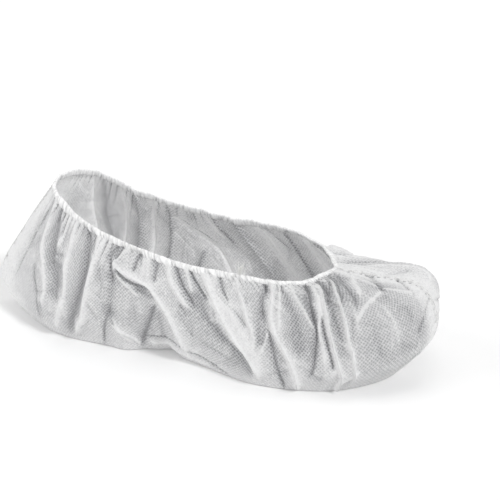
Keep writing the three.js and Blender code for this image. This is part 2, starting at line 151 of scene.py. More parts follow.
OUTER_FOLDS = (
    Fold("heel_bag_dent", -1.3, 9, 9, 3, ((130, 90), (100, 62), (80, 35))),
    Fold("bag_valley", -1.7, 2.2, 5, 0.6,
         ((143, 103), (136, 93), (122, 83), (112, 72), (106, 60), (97, 47), (88, 38))),
    Fold("bag_ridge", 1.3, 3, 3, 0.6, ((83, 102), (93, 92), (90, 83), (77, 73))),
    Fold("heel_bag_crease", -1.2, 1.4, 1.4, 0.3, ((155, 62), (161, 53), (179, 40), (176, 10))),
    Fold("heel_ridge", 2.3, 6, 4.75, 1,
         ((155, 105), (163, 80), (168, 70), (185, 62), (200, 48), (196, 30))),
    Fold("ankle_hollow", -2.8, 9, 6, 2.25, ((183, 105), (200, 70), (222, 58), (230, 36))),
    Fold("ankle_wrinkle", -0.95, 2.4, 2.4, 0.38, ((195, 71), (238, 71.5))),
    Fold("ankle_low_wrinkle", -0.84, 2.4, 2.4, 0.38, ((200, 64), (238, 65))),
    Fold("ankle_ridge", 2.13, 2.88, 3.8, 0.8, ((236, 104), (226, 85), (212, 74))),
    Fold("quarter_ridge", 2.58, 4.32, 4.75, 1,
         ((257, 105), (250, 77), (245, 66), (249, 52), (245, 42), (226, 20), (212, 6))),
    Fold("quarter_valley", -3.4, 5, 6, 1.6,
         ((288, 108), (290, 97), (294, 85), (289, 64), (276, 45), (251, 16), (238, 0))),
    Fold("rear_ridge", 3, 3.6, 8.55, 1.1,
         ((327, 105), (316, 85), (302, 65), (291, 45), (284, 31), (260, 10), (250, 3))),
    Fold("rear_hook", -2.8, 2.4, 3.2, 0.4, ((365, 100), (356, 92), (346, 85), (345, 77), (348, 60))),
    Fold("rear_hollow", -1.3, 4, 6, 1.6, ((348, 75), (346, 55), (336, 30))),
    Fold("rear_crease", -1.9, 2.2, 2.8, 0.4, ((343, 47), (338, 39), (328, 27), (319, 11), (314, -2))),
    Fold("waist_sash", 3, 3, 6.65, 0.6,
         ((347, 88), (350, 82), (356, 76.5), (384, 73), (417, 69), (431, 63), (455, 47), (473, 24),
          (488, 4))),
    Fold("sash_tuck", -2.6, 2, 2.2, 0.3, ((352, 79), (367, 71), (393, 67), (425, 66.2))),
    Fold("sash_lower_lip", 1.4, 1.8, 2.2, 0.25, ((356, 74), (362, 69), (384, 62), (402, 56))),
    Fold("sash_shade", -1.4, 4, 4, 1.4, ((390, 63), (430, 60))),
    Fold("hem_flap_cleft", -2.2, 1.8, 2, 0.3, ((378, 104), (372, 97), (362, 88), (353, 82))),
    Fold("hem_flap_ridge", 1.8, 2, 2.4, 0.25, ((386, 104), (378, 97), (366, 88), (355, 81))),
    Fold("hem_pleat_waist", -2.4, 1.8, 2.4, 0.3, ((411, 104), (405, 96), (396, 87), (389, 76))),
    Fold("notch_lip", 1.34, 2, 2.47, 0.24, ((345, 37), (360, 19), (379, 8))),
    Fold("waist_notch", -3.2, 3.4, 2.4, 0.5, ((386, 0), (400, 19), (415, 36), (431, 56))),
    Fold("notch_side", -0.8, 4, 4, 1.1, ((436, 50), (434, 16))),
    Fold("arch_tuck", -1.9, 1.8, 1.8, 0.3,
         ((390, 16), (404, 17), (430, 18), (463, 15), (501, 13), (542, 5), (575, 0))),
    Fold("arch_flap", 1.9, 3, 3, 0.5, ((395, 11), (430, 12), (463, 9), (501, 7), (530, 2))),
    Fold("hem_rib", 2.4, 2.88, 3.32, 0.6, ((456, 105), (458, 97), (463, 78), (487, 62), (500, 55))),
    Fold("hem_slit", -3, 2.8, 2.8, 0.5, ((468, 106), (470, 98), (478, 83), (494, 67), (505, 57))),
    Fold("slit_lip", 1.46, 2.16, 2.85, 0.24, ((487, 105), (502, 72))),
    Fold("vamp_slit", -2.8, 3, 2.4, 0.5, ((497, 106), (501, 91), (515, 80), (530, 68))),
    Fold("vamp_valley", -2.4, 8, 5, 1.8, ((505, 78), (521, 56), (549, 46), (578, 36), (592, 25), (604, 6))),
    Fold("vamp_ridge", 3.4, 4, 8.55, 0.6,
         ((526, 106), (527, 95), (539, 76), (556, 59), (575, 45), (592, 36), (608, 22), (618, 6))),
    Fold("vamp_swell", 1.6, 6, 5, 3, ((562, 80), (577, 60), (592, 47), (608, 33))),
    Fold("vamp_pleat", -2, 2.6, 3, 0.45, ((553, 105), (555, 94), (560, 82), (572, 70))),
    Fold("vamp_low_pleat", -1.3, 3, 3, 0.8, ((553, 76), (580, 65), (597, 55))),
    Fold("thread_ridge", 2.2, 2.4, 3.8, 0.2,
         ((586, 104), (590, 86), (595, 73), (598, 62), (604, 54), (606, 42))),
    Fold("thread_shade", -1.2, 4, 4, 1.4, ((617, 66), (610, 40))),
    Fold("ball_crease", -2.6, 3.2, 2.8, 0.5, ((662, 105), (649, 89), (633, 80), (628, 72), (624, 60))),
    Fold("ball_pit", -1.1, 4, 3, 1.6, ((626, 72), (626, 58), (616, 44))),
    Fold("ball_flap", -2.6, 2, 3.4, 0.35,
         ((632, 60), (633, 46), (635, 36), (642, 22), (654, 8), (664, -6))),
    Fold("ball_tuck", 1.46, 2.16, 2.85, 0.2, ((632, 56), (614, 40))),
    Fold("ball_ridge", 3.4, 2.8, 5, 0.28,
         ((676, 106), (662, 89), (642, 69), (640, 58), (645, 50), (652, 44), (659, 36), (669, 22),
          (681, 5), (688, -8))),
    Fold("ball_thin_ridge", 1.6, 2, 2.85, 0.2, ((692, 104), (679, 90), (660, 73), (655, 66), (649, 54))),
    Fold("ball_hollow", -1.8, 7, 6, 2.25, ((690, 92), (680, 70), (675, 38))),
    Fold("toe_thin_ridge", 2.2, 3.2, 1.8, 0.2,
         ((730, 102), (713, 90), (704, 80), (704, 70), (706, 63), (711, 55))),
    Fold("toe_triangle", -2.4, 2.6, 2.4, 1.4, ((735, 86), (718, 74), (711, 58))),
    Fold("toe_first_valley", -3.2, 2.6, 2.2, 0.4,
         ((790, 102), (754, 89), (726, 76), (715, 64), (713, 57), (709, 52), (701, 45), (695, 35),
          (690, 18))),
    Fold("toe_lead_ridge", 2.2, 2.6, 2.4, 0.5,
         ((795, 98), (768, 88), (741, 75), (730, 66), (720, 59), (716, 54), (716, 47), (714, 33))),
    Fold("toe_main_ridge", 3.8, 3, 2.4, 0.25,
         ((815, 100), (784, 87), (749, 74), (738, 62), (734, 55), (734, 49), (736, 41), (744, 30),
          (751, 22), (760, 6), (767, -7))),
    Fold("toe_main_crease", -2.2, 1.8, 1.8, 0.35,
         ((732, 67), (730, 63), (726, 58), (725, 51), (726, 43), (731, 30))),
    Fold("toe_gap", -2, 1.8, 2, 0.35, ((825, 97), (790, 86), (765, 77), (756, 70))),
    Fold("toe_second_valley", -1.7, 2.2, 4, 1.4,
         ((850, 100), (815, 90), (775, 80), (757, 71), (750, 60), (753, 38))),
    Fold("toe_gather_ridge", 1.4, 1.6, 1.6, 0.2, ((860, 100), (844, 93), (794, 84))),
    Fold("toe_gather", -1.8, 1.8, 1.8, 0.3, ((890, 100), (875, 95), (806, 86), (768, 78))),
    Fold("toe_second_ridge", 2.8, 2.6, 3.6, 0.2,
         ((905, 100), (860, 92), (815, 84), (792, 77), (774, 67), (768, 58), (765, 50), (768, 42),
          (771, 32), (780, 20), (788, 5), (794, -7))),
    Fold("toe_pleat", -1.8, 1.8, 2.2, 0.3,
         ((915, 100), (896, 94), (835, 86), (804, 78), (782, 70), (775, 63))),
    Fold("toe_third_valley", -2, 2.2, 1.8, 0.35,
         ((965, 100), (948, 96), (889, 90), (850, 83), (831, 77), (811, 69), (797, 62))),
    Fold("toe_third_ridge", 1.8, 1.8, 3, 0.2,
         ((980, 96), (969, 92), (900, 86), (864, 80), (841, 75), (830, 68))),
    Fold("toe_side_crease", 1.5, 1.8, 1.8, 0.2, ((900, 73.5), (834, 67), (785, 57))),
    Fold("toe_cap_crease", 2, 2, 2, 0.2,
         ((950, 94), (935, 88), (915, 77), (925, 70), (960, 63), (995, 58))),
    Fold("toe_seam_pucker", -3.4, 2.8, 2.6, 0.25, ((1010, 90), (989, 84), (953, 80), (917, 76), (900, 71))),
    Fold("toe_front_pucker", -3.4, 2.8, 2.6, 0.25,
         ((1020, 79), (995, 74), (980, 69), (966, 65), (953, 60))),
    Fold("toe_dimple", -2.4, 2, 3, 0.4, ((1000, 54), (950, 47.5), (905, 42))),
    Fold("toe_foot_ridge", 1.2, 1.8, 1.8, 0.2, ((787, 30), (774, 26), (759, 16), (755, 5))),
    Fold("notch_flap", 1.7, 2.2, 2.4, 0.25, ((340, 28), (355, 23), (379, 14), (389, 3))),
    Fold("ball_hem_pleat", -1.8, 1.4, 1.4, 0.2, ((657, 102), (651, 93), (646, 86))),
    Fold("thin_hem_pleat", -1.8, 1.4, 1.4, 0.2, ((690, 102), (680, 92), (674, 86))),
    Fold("next_hem_pleat", -1.8, 1.4, 1.4, 0.2, ((704, 102), (690, 92), (684, 86))),
    Fold("toe_hem_pleat", -1.8, 1.4, 1.4, 0.2, ((790, 102), (765, 92), (748, 85))),
    Fold("front_hem_pleat", -1.8, 1.4, 1.4, 0.2, ((845, 100), (810, 89), (787, 83))),
    Fold("seam_hem_pleat", -1.8, 1.4, 1.4, 0.2, ((950, 101), (900, 95.5), (866, 91))),
    Fold("hem_pleat_sash", -2, 2.4, 2.6, 0.5, ((434, 104), (435, 95), (436, 89), (429, 72))),
)

INNER_FOLDS = (
    Fold("heel_bag_dent", -1.89, 9, 9, 3, ((140, 92), (110, 60), (90, 32))),
    Fold("heel_bag_crease", 1.01, 2.16, 2.85, 0.24, ((120, 70), (150, 50), (165, 20))),
    Fold("heel_ridge", 2.58, 5.76, 4.75, 0.4, ((170, 105), (178, 75), (190, 60), (205, 40))),
    Fold("ankle_hollow", -3.15, 7, 7, 1.88, ((205, 105), (215, 70), (228, 55), (243, 32))),
    Fold("ankle_wrinkle", -0.95, 2.4, 2.4, 0.38, ((205, 68), (246, 70))),
    Fold("quarter_ridge", 2.91, 3.6, 4.75, 0.28, ((250, 105), (258, 75), (254, 50), (235, 18))),
    Fold("quarter_valley", -3.68, 5, 6, 0.98, ((302, 108), (294, 72), (284, 45), (258, 6))),
    Fold("rear_ridge", 3.14, 3.24, 6.65, 0.36, ((336, 105), (322, 70), (315, 45), (298, 16))),
    Fold("rear_crease", -3.15, 4, 5, 0.6, ((372, 105), (360, 72), (352, 45), (333, 8))),
    Fold("waist_sash", 3.36, 3.6, 5.7, 0.28, ((355, 84), (400, 70), (440, 56), (465, 34), (482, 10))),
    Fold("sash_tuck", -1.58, 2.3, 2.3, 0.38, ((375, 80), (420, 67), (450, 56))),
    Fold("waist_notch", -3.78, 5, 3.4, 0.6, ((400, 1), (408, 28), (424, 55))),
    Fold("hem_pleat", -1.47, 2.6, 2.6, 0.45, ((405, 80), (412, 104))),
    Fold("hem_rib", 2.02, 2.88, 3.32, 0.28, ((432, 105), (440, 80), (462, 62))),
    Fold("hem_slit", -2.52, 2.8, 2.8, 0.45, ((450, 106), (458, 80), (487, 55))),
    Fold("vamp_valley", -4.2, 8, 5, 1.12, ((490, 105), (505, 72), (525, 50), (567, 12))),
    Fold("vamp_ridge", 3.58, 2.88, 7.6, 0.28, ((525, 106), (540, 74), (560, 48), (592, 18))),
    Fold("vamp_pleat", -1.47, 3, 3, 0.45, ((552, 105), (562, 84), (585, 66))),
    Fold("ball_crease", -2.94, 4.5, 3.6, 0.52, ((602, 105), (598, 74), (606, 48), (627, 10))),
    Fold("ball_ridge", 3.14, 2.52, 6.65, 0.24, ((640, 106), (628, 72), (634, 46), (657, 16))),
    Fold("ball_thin_ridge", 1.46, 2, 2.85, 0.2, ((660, 104), (650, 78), (655, 56))),
    Fold("ball_hollow", -2.52, 6, 6, 1.8, ((692, 104), (674, 68), (680, 28))),
    Fold("toe_ridge", 3.36, 2.88, 4.75, 0.2, ((762, 106), (722, 76), (712, 52), (727, 16))),
    Fold("toe_valley", -2.94, 3.6, 4, 0.52, ((812, 105), (765, 78), (748, 55), (757, 24))),
    Fold("toe_second_ridge", 2.35, 2.45, 6.65, 0.24, ((872, 104), (812, 78), (792, 58), (792, 30))),
    Fold("toe_pleat", -1.47, 3, 3, 0.45, ((855, 103), (820, 86), (795, 70))),
    Fold("toe_third_valley", -2.21, 3.6, 4, 0.6, ((942, 103), (885, 88), (845, 74), (828, 52))),
    Fold("toe_cap_crease", 1.57, 2.45, 3.8, 0.2, ((940, 90), (920, 76), (935, 64), (985, 56))),
    Fold("toe_seam_pucker", -1.26, 4, 4, 0.75, ((1000, 84), (965, 78), (935, 72))),
    Fold("toe_dimple", -1.47, 3, 4, 0.45, ((985, 50), (940, 44), (900, 40))),
)


def linear(colour: str) -> tuple[float, float, float, float]:
    """Turns an sRGB hex colour to linear.

    Args:
        colour: six hex digits after a hash.

    Returns:
        Red, green, blue and an alpha of 1.
    """
    shares = [int(colour[i : i + 2], 16) / 255 for i in (1, 3, 5)]
    red, green, blue = (s / 12.92 if s <= 0.04045 else ((s + 0.055) / 1.055) ** 2.4 for s in shares)
    return red, green, blue, 1.0


def add_node(
    tree: bpy.types.NodeTree,
    kind: str,
    inputs: Mapping[str | int, object] | None = None,
    output: str | int = 0,
    **settings: object,
) -> bpy.types.NodeSocket | None:
    """Adds a node with its settings and links.

    Args:
        tree: the material's or world's node tree.
        kind: the node's type name, after ShaderNode.
        inputs: for each input, by name or number, a socket to link to it or a value to set.
        output: which of its outputs is wanted, by name or number.
        settings: the node's own properties.

    Returns:
        That output, or None from a node without outputs.
    """
    node = tree.nodes.new(f"ShaderNode{kind}")
    for name, value in settings.items():
        setattr(node, name, value)
    for name, value in (inputs or {}).items():
        if isinstance(value, bpy.types.NodeSocket):
            tree.links.new(value, node.inputs[name])
        else:
            node.inputs[name].default_value = value
    return node.outputs[output] if node.outputs else None


def empty_material(name: str) -> tuple[bpy.types.Material, Callable[..., bpy.types.NodeSocket]]:
    """Makes a material with an empty node tree.

    Args:
        name: what the real material is.

    Returns:
        The material, and add_node for its tree.
    """
    material = bpy.data.materials.new(name)
    material.use_nodes = True
    material.node_tree.nodes.clear()
    return material, partial(add_node, material.node_tree)


def smoothstep(low: float, high: float, value: np.ndarray) -> np.ndarray:
    """The cubic 3t² - 2t³ of the share t at which value lies from low to high, with t held to 0 and 1."""
    t = np.clip((value - low) / (high - low), 0, 1)
    return t * t * (3 - 2 * t)


def plateau(edges: Edges, value: np.ndarray) -> np.ndarray:
    """Climbs smoothly from 0 to 1 over the first two edges, and falls back over the last two."""
    return smoothstep(*edges[:2], value) * (1 - smoothstep(*edges[2:], value))


def grown(growth: Triple, value: np.ndarray) -> np.ndarray:
    """Grows smoothly to 1 from the first of three numbers, between the other two."""
    least, start, full = growth
    return least + (1 - least) * smoothstep(start, full, value)


def unit(vectors: np.ndarray) -> np.ndarray:
    """Vectors along the last axis, brought to a length of 1."""
    return vectors / np.maximum(np.linalg.norm(vectors, axis=-1, keepdims=True), 1e-12)


def closed(rows: np.ndarray) -> np.ndarray:
    """Rows with the first one again at their end."""
    return np.concatenate([rows, rows[:1]])


def runs(path: np.ndarray) -> np.ndarray:
    """The lengths passed along the first axis, from 0 at its first stop."""
    return np.cumsum(np.linalg.norm(np.diff(path, axis=0, prepend=path[:1]), axis=-1), axis=0)


def read_at(rows: np.ndarray, at: np.ndarray, places: np.ndarray) -> np.ndarray:
    """Each column of rows read at new places, straight between the places that the rows have."""
    return np.stack([np.interp(at, places, column) for column in rows.T], axis=1)


def curve_through(points: np.ndarray, share: np.ndarray) -> np.ndarray:
    """A smooth curve through rows of points, side by side for many curves.

    Between two points it is the cubic whose slopes at them are half the step between their neighbours,
    and past each end the row goes on by its last step.

    Args:
        points: stops by curves by coordinates.
        share: how far along to read each curve, from 0 to 1, readings by curves.

    Returns:
        Readings by curves by coordinates.
    """
    stops = np.concatenate([2 * points[:1] - points[1:2], points, 2 * points[-1:] - points[-2:-1]])
    place = np.clip(share, 0, 1) * (len(points) - 1)
    at = np.minimum(place.astype(int), len(points) - 2)
    t = (place - at)[..., None]
    before, start, end, after = (stops[at + k, np.arange(points.shape[1])] for k in range(4))
    leave, arrive = (end - before) / 2, (after - start) / 2
    return (
        (2 * t**3 - 3 * t**2 + 1) * start
        + (t**3 - 2 * t**2 + t) * leave
        + (3 * t**2 - 2 * t**3) * end
        + (t**3 - t**2) * arrive
    )


def evenly(rows: np.ndarray, count: int, form: Form) -> np.ndarray:
    """Rows along a path again, at even steps of its length.

    Args:
        rows: stops by columns, of which the first three are the place.
        count: how many stops to give.
        form: RING where the last stop meets the first.

    Returns:
        Count rows of the same columns.
    """
    ring = form is Form.RING
    rows = closed(rows) if ring else rows
    run = runs(rows[:, :3])
    return read_at(rows, np.linspace(0, run[-1], count, endpoint=not ring), run)


def smoothed(rows: np.ndarray, rounds: int, form: Form) -> np.ndarray:
    """Rows averaged with their neighbours, which count half as much.

    Args:
        rows: stops by columns.
        rounds: how often.
        form: RING where the last stop meets the first. Otherwise both ends stay.

    Returns:
        The averaged rows.
    """
    for _ in range(rounds):
        mean = (np.roll(rows, 1, 0) + 2 * rows + np.roll(rows, -1, 0)) / 4
        rows = mean if form is Form.RING else np.concatenate([rows[:1], mean[1:-1], rows[-1:]])
    return rows


def from_path(path: np.ndarray, places: np.ndarray) -> tuple[np.ndarray, np.ndarray]:
    """How places in a plane lie from a path there.

    For each leg the nearest point is the place's foot on it, held to its ends, and the nearest leg counts.

    Args:
        path: stops by 2.
        places: any shape by 2.

    Returns:
        The distance, above 0 on the left of the path, and the share of the path's length passed.
    """
    passed = runs(path)
    away = np.full(places.shape[:-1], np.inf)
    side = np.ones_like(away)
    share = np.zeros_like(away)
    for start, leg, before in zip(path[:-1], np.diff(path, axis=0), passed[:-1]):
        length = np.linalg.norm(leg)
        to = places - start
        t = np.clip(to @ leg / length**2, 0, 1)
        far = np.linalg.norm(to - t[..., None] * leg, axis=-1)
        nearer = far < away
        away = np.where(nearer, far, away)
        side = np.where(nearer, np.sign(leg[0] * to[..., 1] - leg[1] * to[..., 0]), side)
        share = np.where(nearer, (before + t * length) / passed[-1], share)
    return away * side, share


def waves(spread: np.random.Generator, places: np.ndarray, count: int) -> tuple[np.ndarray, np.ndarray]:
    """Uneven waves side by side: where each place lies in its wave, and which wave that is.

    The phase runs on evenly and is pushed to and fro by two slow sines, so that waves differ in width.

    Args:
        spread: the source of the sines' phases.
        places: shares from 0 to 1.
        count: how many waves there are.

    Returns:
        The share passed in the wave, and the wave's number.
    """
    phase = count * places
    for (push, often), start in zip(DRIFTS, spread.uniform(0, TURN, len(DRIFTS))):
        phase = phase + push * np.sin(TURN * often * places + start)
    phase -= phase.min()
    number = np.floor(phase).astype(int)
    return phase - number, number


def swayed(points: np.ndarray) -> np.ndarray:
    """Points near the front of the toe moved to the big toe's side, as the seam is pulled there.

    The shift is SWAY times smooth steps over x and z and a bell over y.

    Args:
        points: any shape by 3.

    Returns:
        The moved points.
    """
    x, y, z = np.moveaxis(points, -1, 0)
    shift = SWAY * smoothstep(*SWAY_FRONT, x) * smoothstep(*SWAY_UP, z) * np.exp(-((y / SWAY_REACH) ** 2))
    return points + shift[..., None] * ACROSS


def make_mesh(
    name: str,
    points: np.ndarray,
    cloth: np.ndarray,
    form: Form,
    marks: Mapping[str, np.ndarray] | None = None,
) -> bpy.types.Object:
    """Makes an object from grids of points.

    Each face joins four neighbours of a grid, and a tube has one face more at each end.

    Args:
        name: the piece's name.
        points: grids by rows by columns by 3, in millimetres.
        cloth: the cloth's own coordinates in millimetres, as points, with one more column where the
            grid closes around and one more row where it joins into a ring.
        form: how each grid closes.
        marks: named values at the points, such as painted shade for the depth in a fold, from 0 to 1.

    Returns:
        The new object, linked to the scene.
    """
    grids, rows, columns = points.shape[:3]
    last_row, last_column = rows - (form is not Form.RING), columns - (form is Form.SHEET)
    r, c = np.meshgrid(np.arange(last_row), np.arange(last_column), indexing="ij")
    corners = np.stack([[r, c], [r, c + 1], [r + 1, c + 1], [r + 1, c]]).reshape(4, 2, -1)
    index = (corners[:, 0] % rows) * columns + corners[:, 1] % columns
    faces = (np.arange(grids)[:, None, None] * rows * columns + index.T).reshape(-1, 4).tolist()
    if form is Form.TUBE:
        starts = np.arange(grids)[:, None] * rows * columns + np.arange(columns)
        faces += starts[:, ::-1].tolist() + (starts + (rows - 1) * columns).tolist()
    mesh = bpy.data.meshes.new(name)
    mesh.from_pydata((points.reshape(-1, 3) * MM).tolist(), [], faces)
    flat = cloth[:, corners[:, 0], corners[:, 1]].transpose(0, 2, 1, 3).reshape(-1, 2)
    layer = mesh.uv_layers.new(name="cloth")
    full = np.zeros((len(mesh.loops), 2), np.float32)
    full[: len(flat)] = flat
    layer.data.foreach_set("uv", full.ravel())
    for mark, values in (marks or {}).items():
        layer = mesh.attributes.new(mark, "FLOAT", "POINT")
        layer.data.foreach_set("value", values.astype(np.float32).ravel())
    mesh.shade_smooth()
    mesh.validate()
    piece = bpy.data.objects.new(name, mesh)
    bpy.context.scene.collection.objects.link(piece)
    return piece


def tube(
    path: np.ndarray, across: np.ndarray, out: np.ndarray, wide: np.ndarray, thick: np.ndarray, sides: int
) -> np.ndarray:
    """An oval profile carried along a path.

    At each stop a point at angle a lies wide/2 times the cosine of a along across, and thick/2 times the
    sine of a along out, from the path.

    Args:
        path: stops by 3.
        across: the profile's first direction at each stop.
        out: its second direction.
        wide: its width at each stop and side, or one that serves all.
        thick: its thickness, likewise.
        sides: how many points the profile has.

    Returns:
        Stops by sides by 3.
    """
    angle = np.linspace(0, TURN, sides, endpoint=False)
    over = np.cos(angle) * wide / 2
    up = np.sin(angle) * thick / 2
    return path[:, None] + over[..., None] * across[:, None] + up[..., None] * out[:, None]


def wrapped(girth: float, sides: int, run: np.ndarray) -> np.ndarray:
    """The cloth's own coordinates on a tube: the way round it, then the length run at each stop."""
    return np.stack(np.broadcast_arrays(np.linspace(0, girth, sides + 1), run[:, None]), axis=-1)


def steps_of(path: np.ndarray, form: Form) -> np.ndarray:
    """Unit directions of a path at its stops, from each one's neighbours."""
    around = np.roll(path, -1, axis=0) - np.roll(path, 1, axis=0)
    return unit(around if form is Form.RING else np.gradient(path, axis=0))


def overlock(
    name: str, centre: np.ndarray, core: np.ndarray, thick: float, length: float, form: Form
) -> bpy.types.Object:
    """Makes a fine thread over a core, a round profile carried along the thread's middle line.

    The profile's first direction is square to the line and to the way out from the core, and its
    second one is square to both.

    Args:
        name: the piece's name.
        centre: the thread's middle line, stops by 3.
        core: the place inside the core at each stop.
        thick: the thread's thickness.
        length: the core's length.
        form: RING where the thread meets itself.

    Returns:
        The thread's object.
    """
    along = steps_of(centre, form)
    across = unit(np.cross(along, unit(centre - core)))
    points = tube(centre, across, unit(np.cross(across, along)), thick, thick, THREAD_SIDES)
    run = np.linspace(0, THREAD_SLACK * length, len(centre) + (form is Form.RING))
    return make_mesh(name, points[None], wrapped(np.pi * thick, THREAD_SIDES, run)[None], form)


@dataclass(frozen=True)
class Spunbond:
    """White spunbond polypropylene, 45 grams a square metre: matt, fine and a little see-through.

    Hot rollers bond the fibres at points in a slanted grid. Each point is a shallow, glassy dimple that
    looks greyer than the fluff round it. Shade is painted in where the cloth lies deep in a fold, which
    makes it greyer and its points plainer.
    """

    # The first colour is the cloth's own white; the second is painted shade deep in the folds, and the grey
    # of thinner patches of fibres too.
    ridge: str = "#F4F4F4"
    hollow_shade: str = "#C2C2C4"
    bond: str = "#838486"
    needle: str = "#5E5F61"  # painted shade inside a stitch
    bond_pitch: float = 1.75  # the real points are 1.3 apart, drawn coarser so that they show
    bond_slant: float = 45  # degrees from the rows of points to the panel's length
    bond_reach: Pair = (0.04, 0.58)  # where a point starts to fade and ends, in pitches
    bond_show: Pair = (1.2, -0.03)  # painted shade: points plainer with depth in a fold, and from where
    bond_sink: float = 0.8  # how deep a point is, against the height of the fibres
    cloud: float = 14.0  # size of the thicker and thinner patches of fibres
    cloud_grey: float = 0.5
    fibre: float = 1.5  # a fibre bundle, drawn coarser than the real 0.3 so that it shows
    fibre_grey: Pair = (1.8, -1.14)  # how the fibres grey the cloth, and from where
    fibre_depth: float = 0.15
    crease: Pair = (9.0, 20.0)  # size of the small creases along the panel and up it
    crease_lean: float = 0.15  # their slant in radians
    crease_depth: float = 0.5
    roughness: float = 0.88
    through: float = 0.3  # share of the light that passes

    def make(self) -> bpy.types.Material:
        """Makes the material: dots on the cloth's own grid, clouds of fibres, and painted shade in the
        folds.

        Returns:
            The material.
        """
        material, node = empty_material("spunbond polypropylene, point bonded")
        cloth = node("UVMap", uv_map="cloth")
        # Painted shade of the folds, lighter along the painted highlight lines on crests.
        depth = node("Attribute", output="Fac", attribute_name="hollow_shade")
        # Painted shade inside the stitch dents.
        sewn = node("Attribute", output="Fac", attribute_name="stitch")
        scale = (1 / self.bond_pitch, 1 / self.bond_pitch, 1)
        slant = (0, 0, np.radians(self.bond_slant))
        grid = node("Mapping", {"Vector": cloth, "Rotation": slant, "Scale": scale})
        uneven = {"Scale": 1.0, "Randomness": 0.22}
        cell = node("TexVoronoi", {"Vector": grid, **uneven}, voronoi_dimensions="2D")
        full, end = self.bond_reach
        point = node(
            "MapRange",
            {"Value": cell, "From Min": full, "From Max": end, "To Min": 1.0, "To Max": 0.0},
            interpolation_type="SMOOTHSTEP",
        )
        cloud = node(
            "TexNoise",
            {"Vector": cloth, "Scale": 1 / self.cloud, "Detail": 4.0, "Roughness": 0.6},
            noise_dimensions="2D",
        )
        fibre = node(
            "TexNoise",
            {"Vector": cloth, "Scale": 1 / self.fibre, "Detail": 3.0, "Roughness": 0.7, "Distortion": 0.8},
            noise_dimensions="2D",
        )
        growth, start = self.fibre_grey
        grain = node("Math", {0: fibre, 1: growth, 2: start}, operation="MULTIPLY_ADD")
        patch = node("Math", {0: cloud, 1: self.cloud_grey, 2: grain}, operation="MULTIPLY_ADD")
        # Painted shade from the depth in a fold, plus the real greyer and paler patches of fibres.
        shade_and_thin = node("Math", {0: depth, 1: patch}, operation="ADD", use_clamp=True)
        fluff = node("Mix", {0: shade_and_thin, FROM: linear(self.ridge), TO: linear(self.hollow_shade)}, **BLEND)
        growth, start = self.bond_show
        # Painted shade: the bond points show plainer the deeper the cloth lies in a fold.
        plain = node("Math", {0: depth, 1: growth, 2: start}, operation="MULTIPLY_ADD", use_clamp=True)
        dotted = node("Math", {0: point, 1: plain}, operation="MULTIPLY")
        colour = node("Mix", {0: dotted, FROM: fluff, TO: linear(self.bond)}, **BLEND)
        # Painted shade inside the stitches.
        stitch_shaded = node("Mix", {0: sewn, FROM: colour, TO: linear(self.needle)}, **BLEND)
        scale = (1 / self.crease[0], 1 / self.crease[1], 1)
        lean = node("Mapping", {"Vector": cloth, "Rotation": (0, 0, self.crease_lean), "Scale": scale})
        crease = node(
            "TexNoise",
            {"Vector": lean, "Scale": 1.0, "Detail": 3.0, "Roughness": 0.6, "Distortion": 0.5},
            noise_dimensions="2D",
            noise_type="RIDGED_MULTIFRACTAL",
        )
        creased = node("Bump", {"Strength": 1.0, "Distance": self.crease_depth * MM, "Height": crease})
        height = node("Math", {0: point, 1: -self.bond_sink, 2: fibre}, operation="MULTIPLY_ADD")
        rough = {"Strength": 0.35, "Distance": self.fibre_depth * MM, "Height": height}
        bump = node("Bump", {**rough, "Normal": creased})
        matt = {"Roughness": self.roughness, "Specular IOR Level": 0.25}
        fuzz = {"Sheen Weight": 0.1, "Sheen Roughness": 0.5}
        front = node("BsdfPrincipled", {"Base Color": stitch_shaded, **matt, **fuzz, "Normal": bump})
        behind = node("BsdfTranslucent", {"Color": stitch_shaded, "Normal": bump})
        node("OutputMaterial", {"Surface": node("MixShader", {0: self.through, 1: front, 2: behind})})
        return material


@dataclass(frozen=True)
class GatheredCloth:
    """The same cloth rolled and gathered over an elastic, several layers thick: whiter and fully opaque."""

    name: str = "gathered spunbond over elastic"
    crest: str = "#F3F3F3"
    # Painted shade in the creases between the gathers of the hem, and between the puckers of the seam
    # allowance.
    crease: str = "#A8A8AA"
    wrinkle: float = 1.6  # one small wrinkle of the roll
    stretch: float = 0.35  # its width along the roll as a share of its length round it
    wrinkle_depth: float = 0.3
    mottle: float = 1.6  # how much the wrinkles darken it
    mottle_from: float = 0.45  # height of a wrinkle from which they do
    roughness: float = 0.82

    def make(self) -> bpy.types.Material:
        """Makes the material: fine wrinkles across the roll, with painted shade in its creases.

        Returns:
            The material.
        """
        material, node = empty_material(self.name)
        cloth = node("UVMap", uv_map="cloth")
        # Painted shade of the creases, set at each point by the roll and the allowance.
        depth = node("Attribute", output="Fac", attribute_name="hollow_shade")
        scale = (self.stretch / self.wrinkle, 1 / self.wrinkle, 1)
        drawn = node("Mapping", {"Vector": cloth, "Scale": scale})
        wrinkle = node(
            "TexNoise",
            {"Vector": drawn, "Scale": 1.0, "Detail": 3.0, "Roughness": 0.6},
            noise_dimensions="2D",
        )
        start = -self.mottle_from * self.mottle
        uneven = node("Math", {0: wrinkle, 1: self.mottle, 2: start}, operation="MULTIPLY_ADD")
        shade = node("Math", {0: depth, 1: uneven}, operation="ADD", use_clamp=True)
        colour = node("Mix", {0: shade, FROM: linear(self.crest), TO: linear(self.crease)}, **BLEND)
        bump = node("Bump", {"Strength": 0.5, "Distance": self.wrinkle_depth * MM, "Height": wrinkle})
        matt = {"Roughness": self.roughness, "Specular IOR Level": 0.25}
        front = node("BsdfPrincipled", {"Base Color": colour, **matt, "Normal": bump})
        node("OutputMaterial", {"Surface": front})
        return material


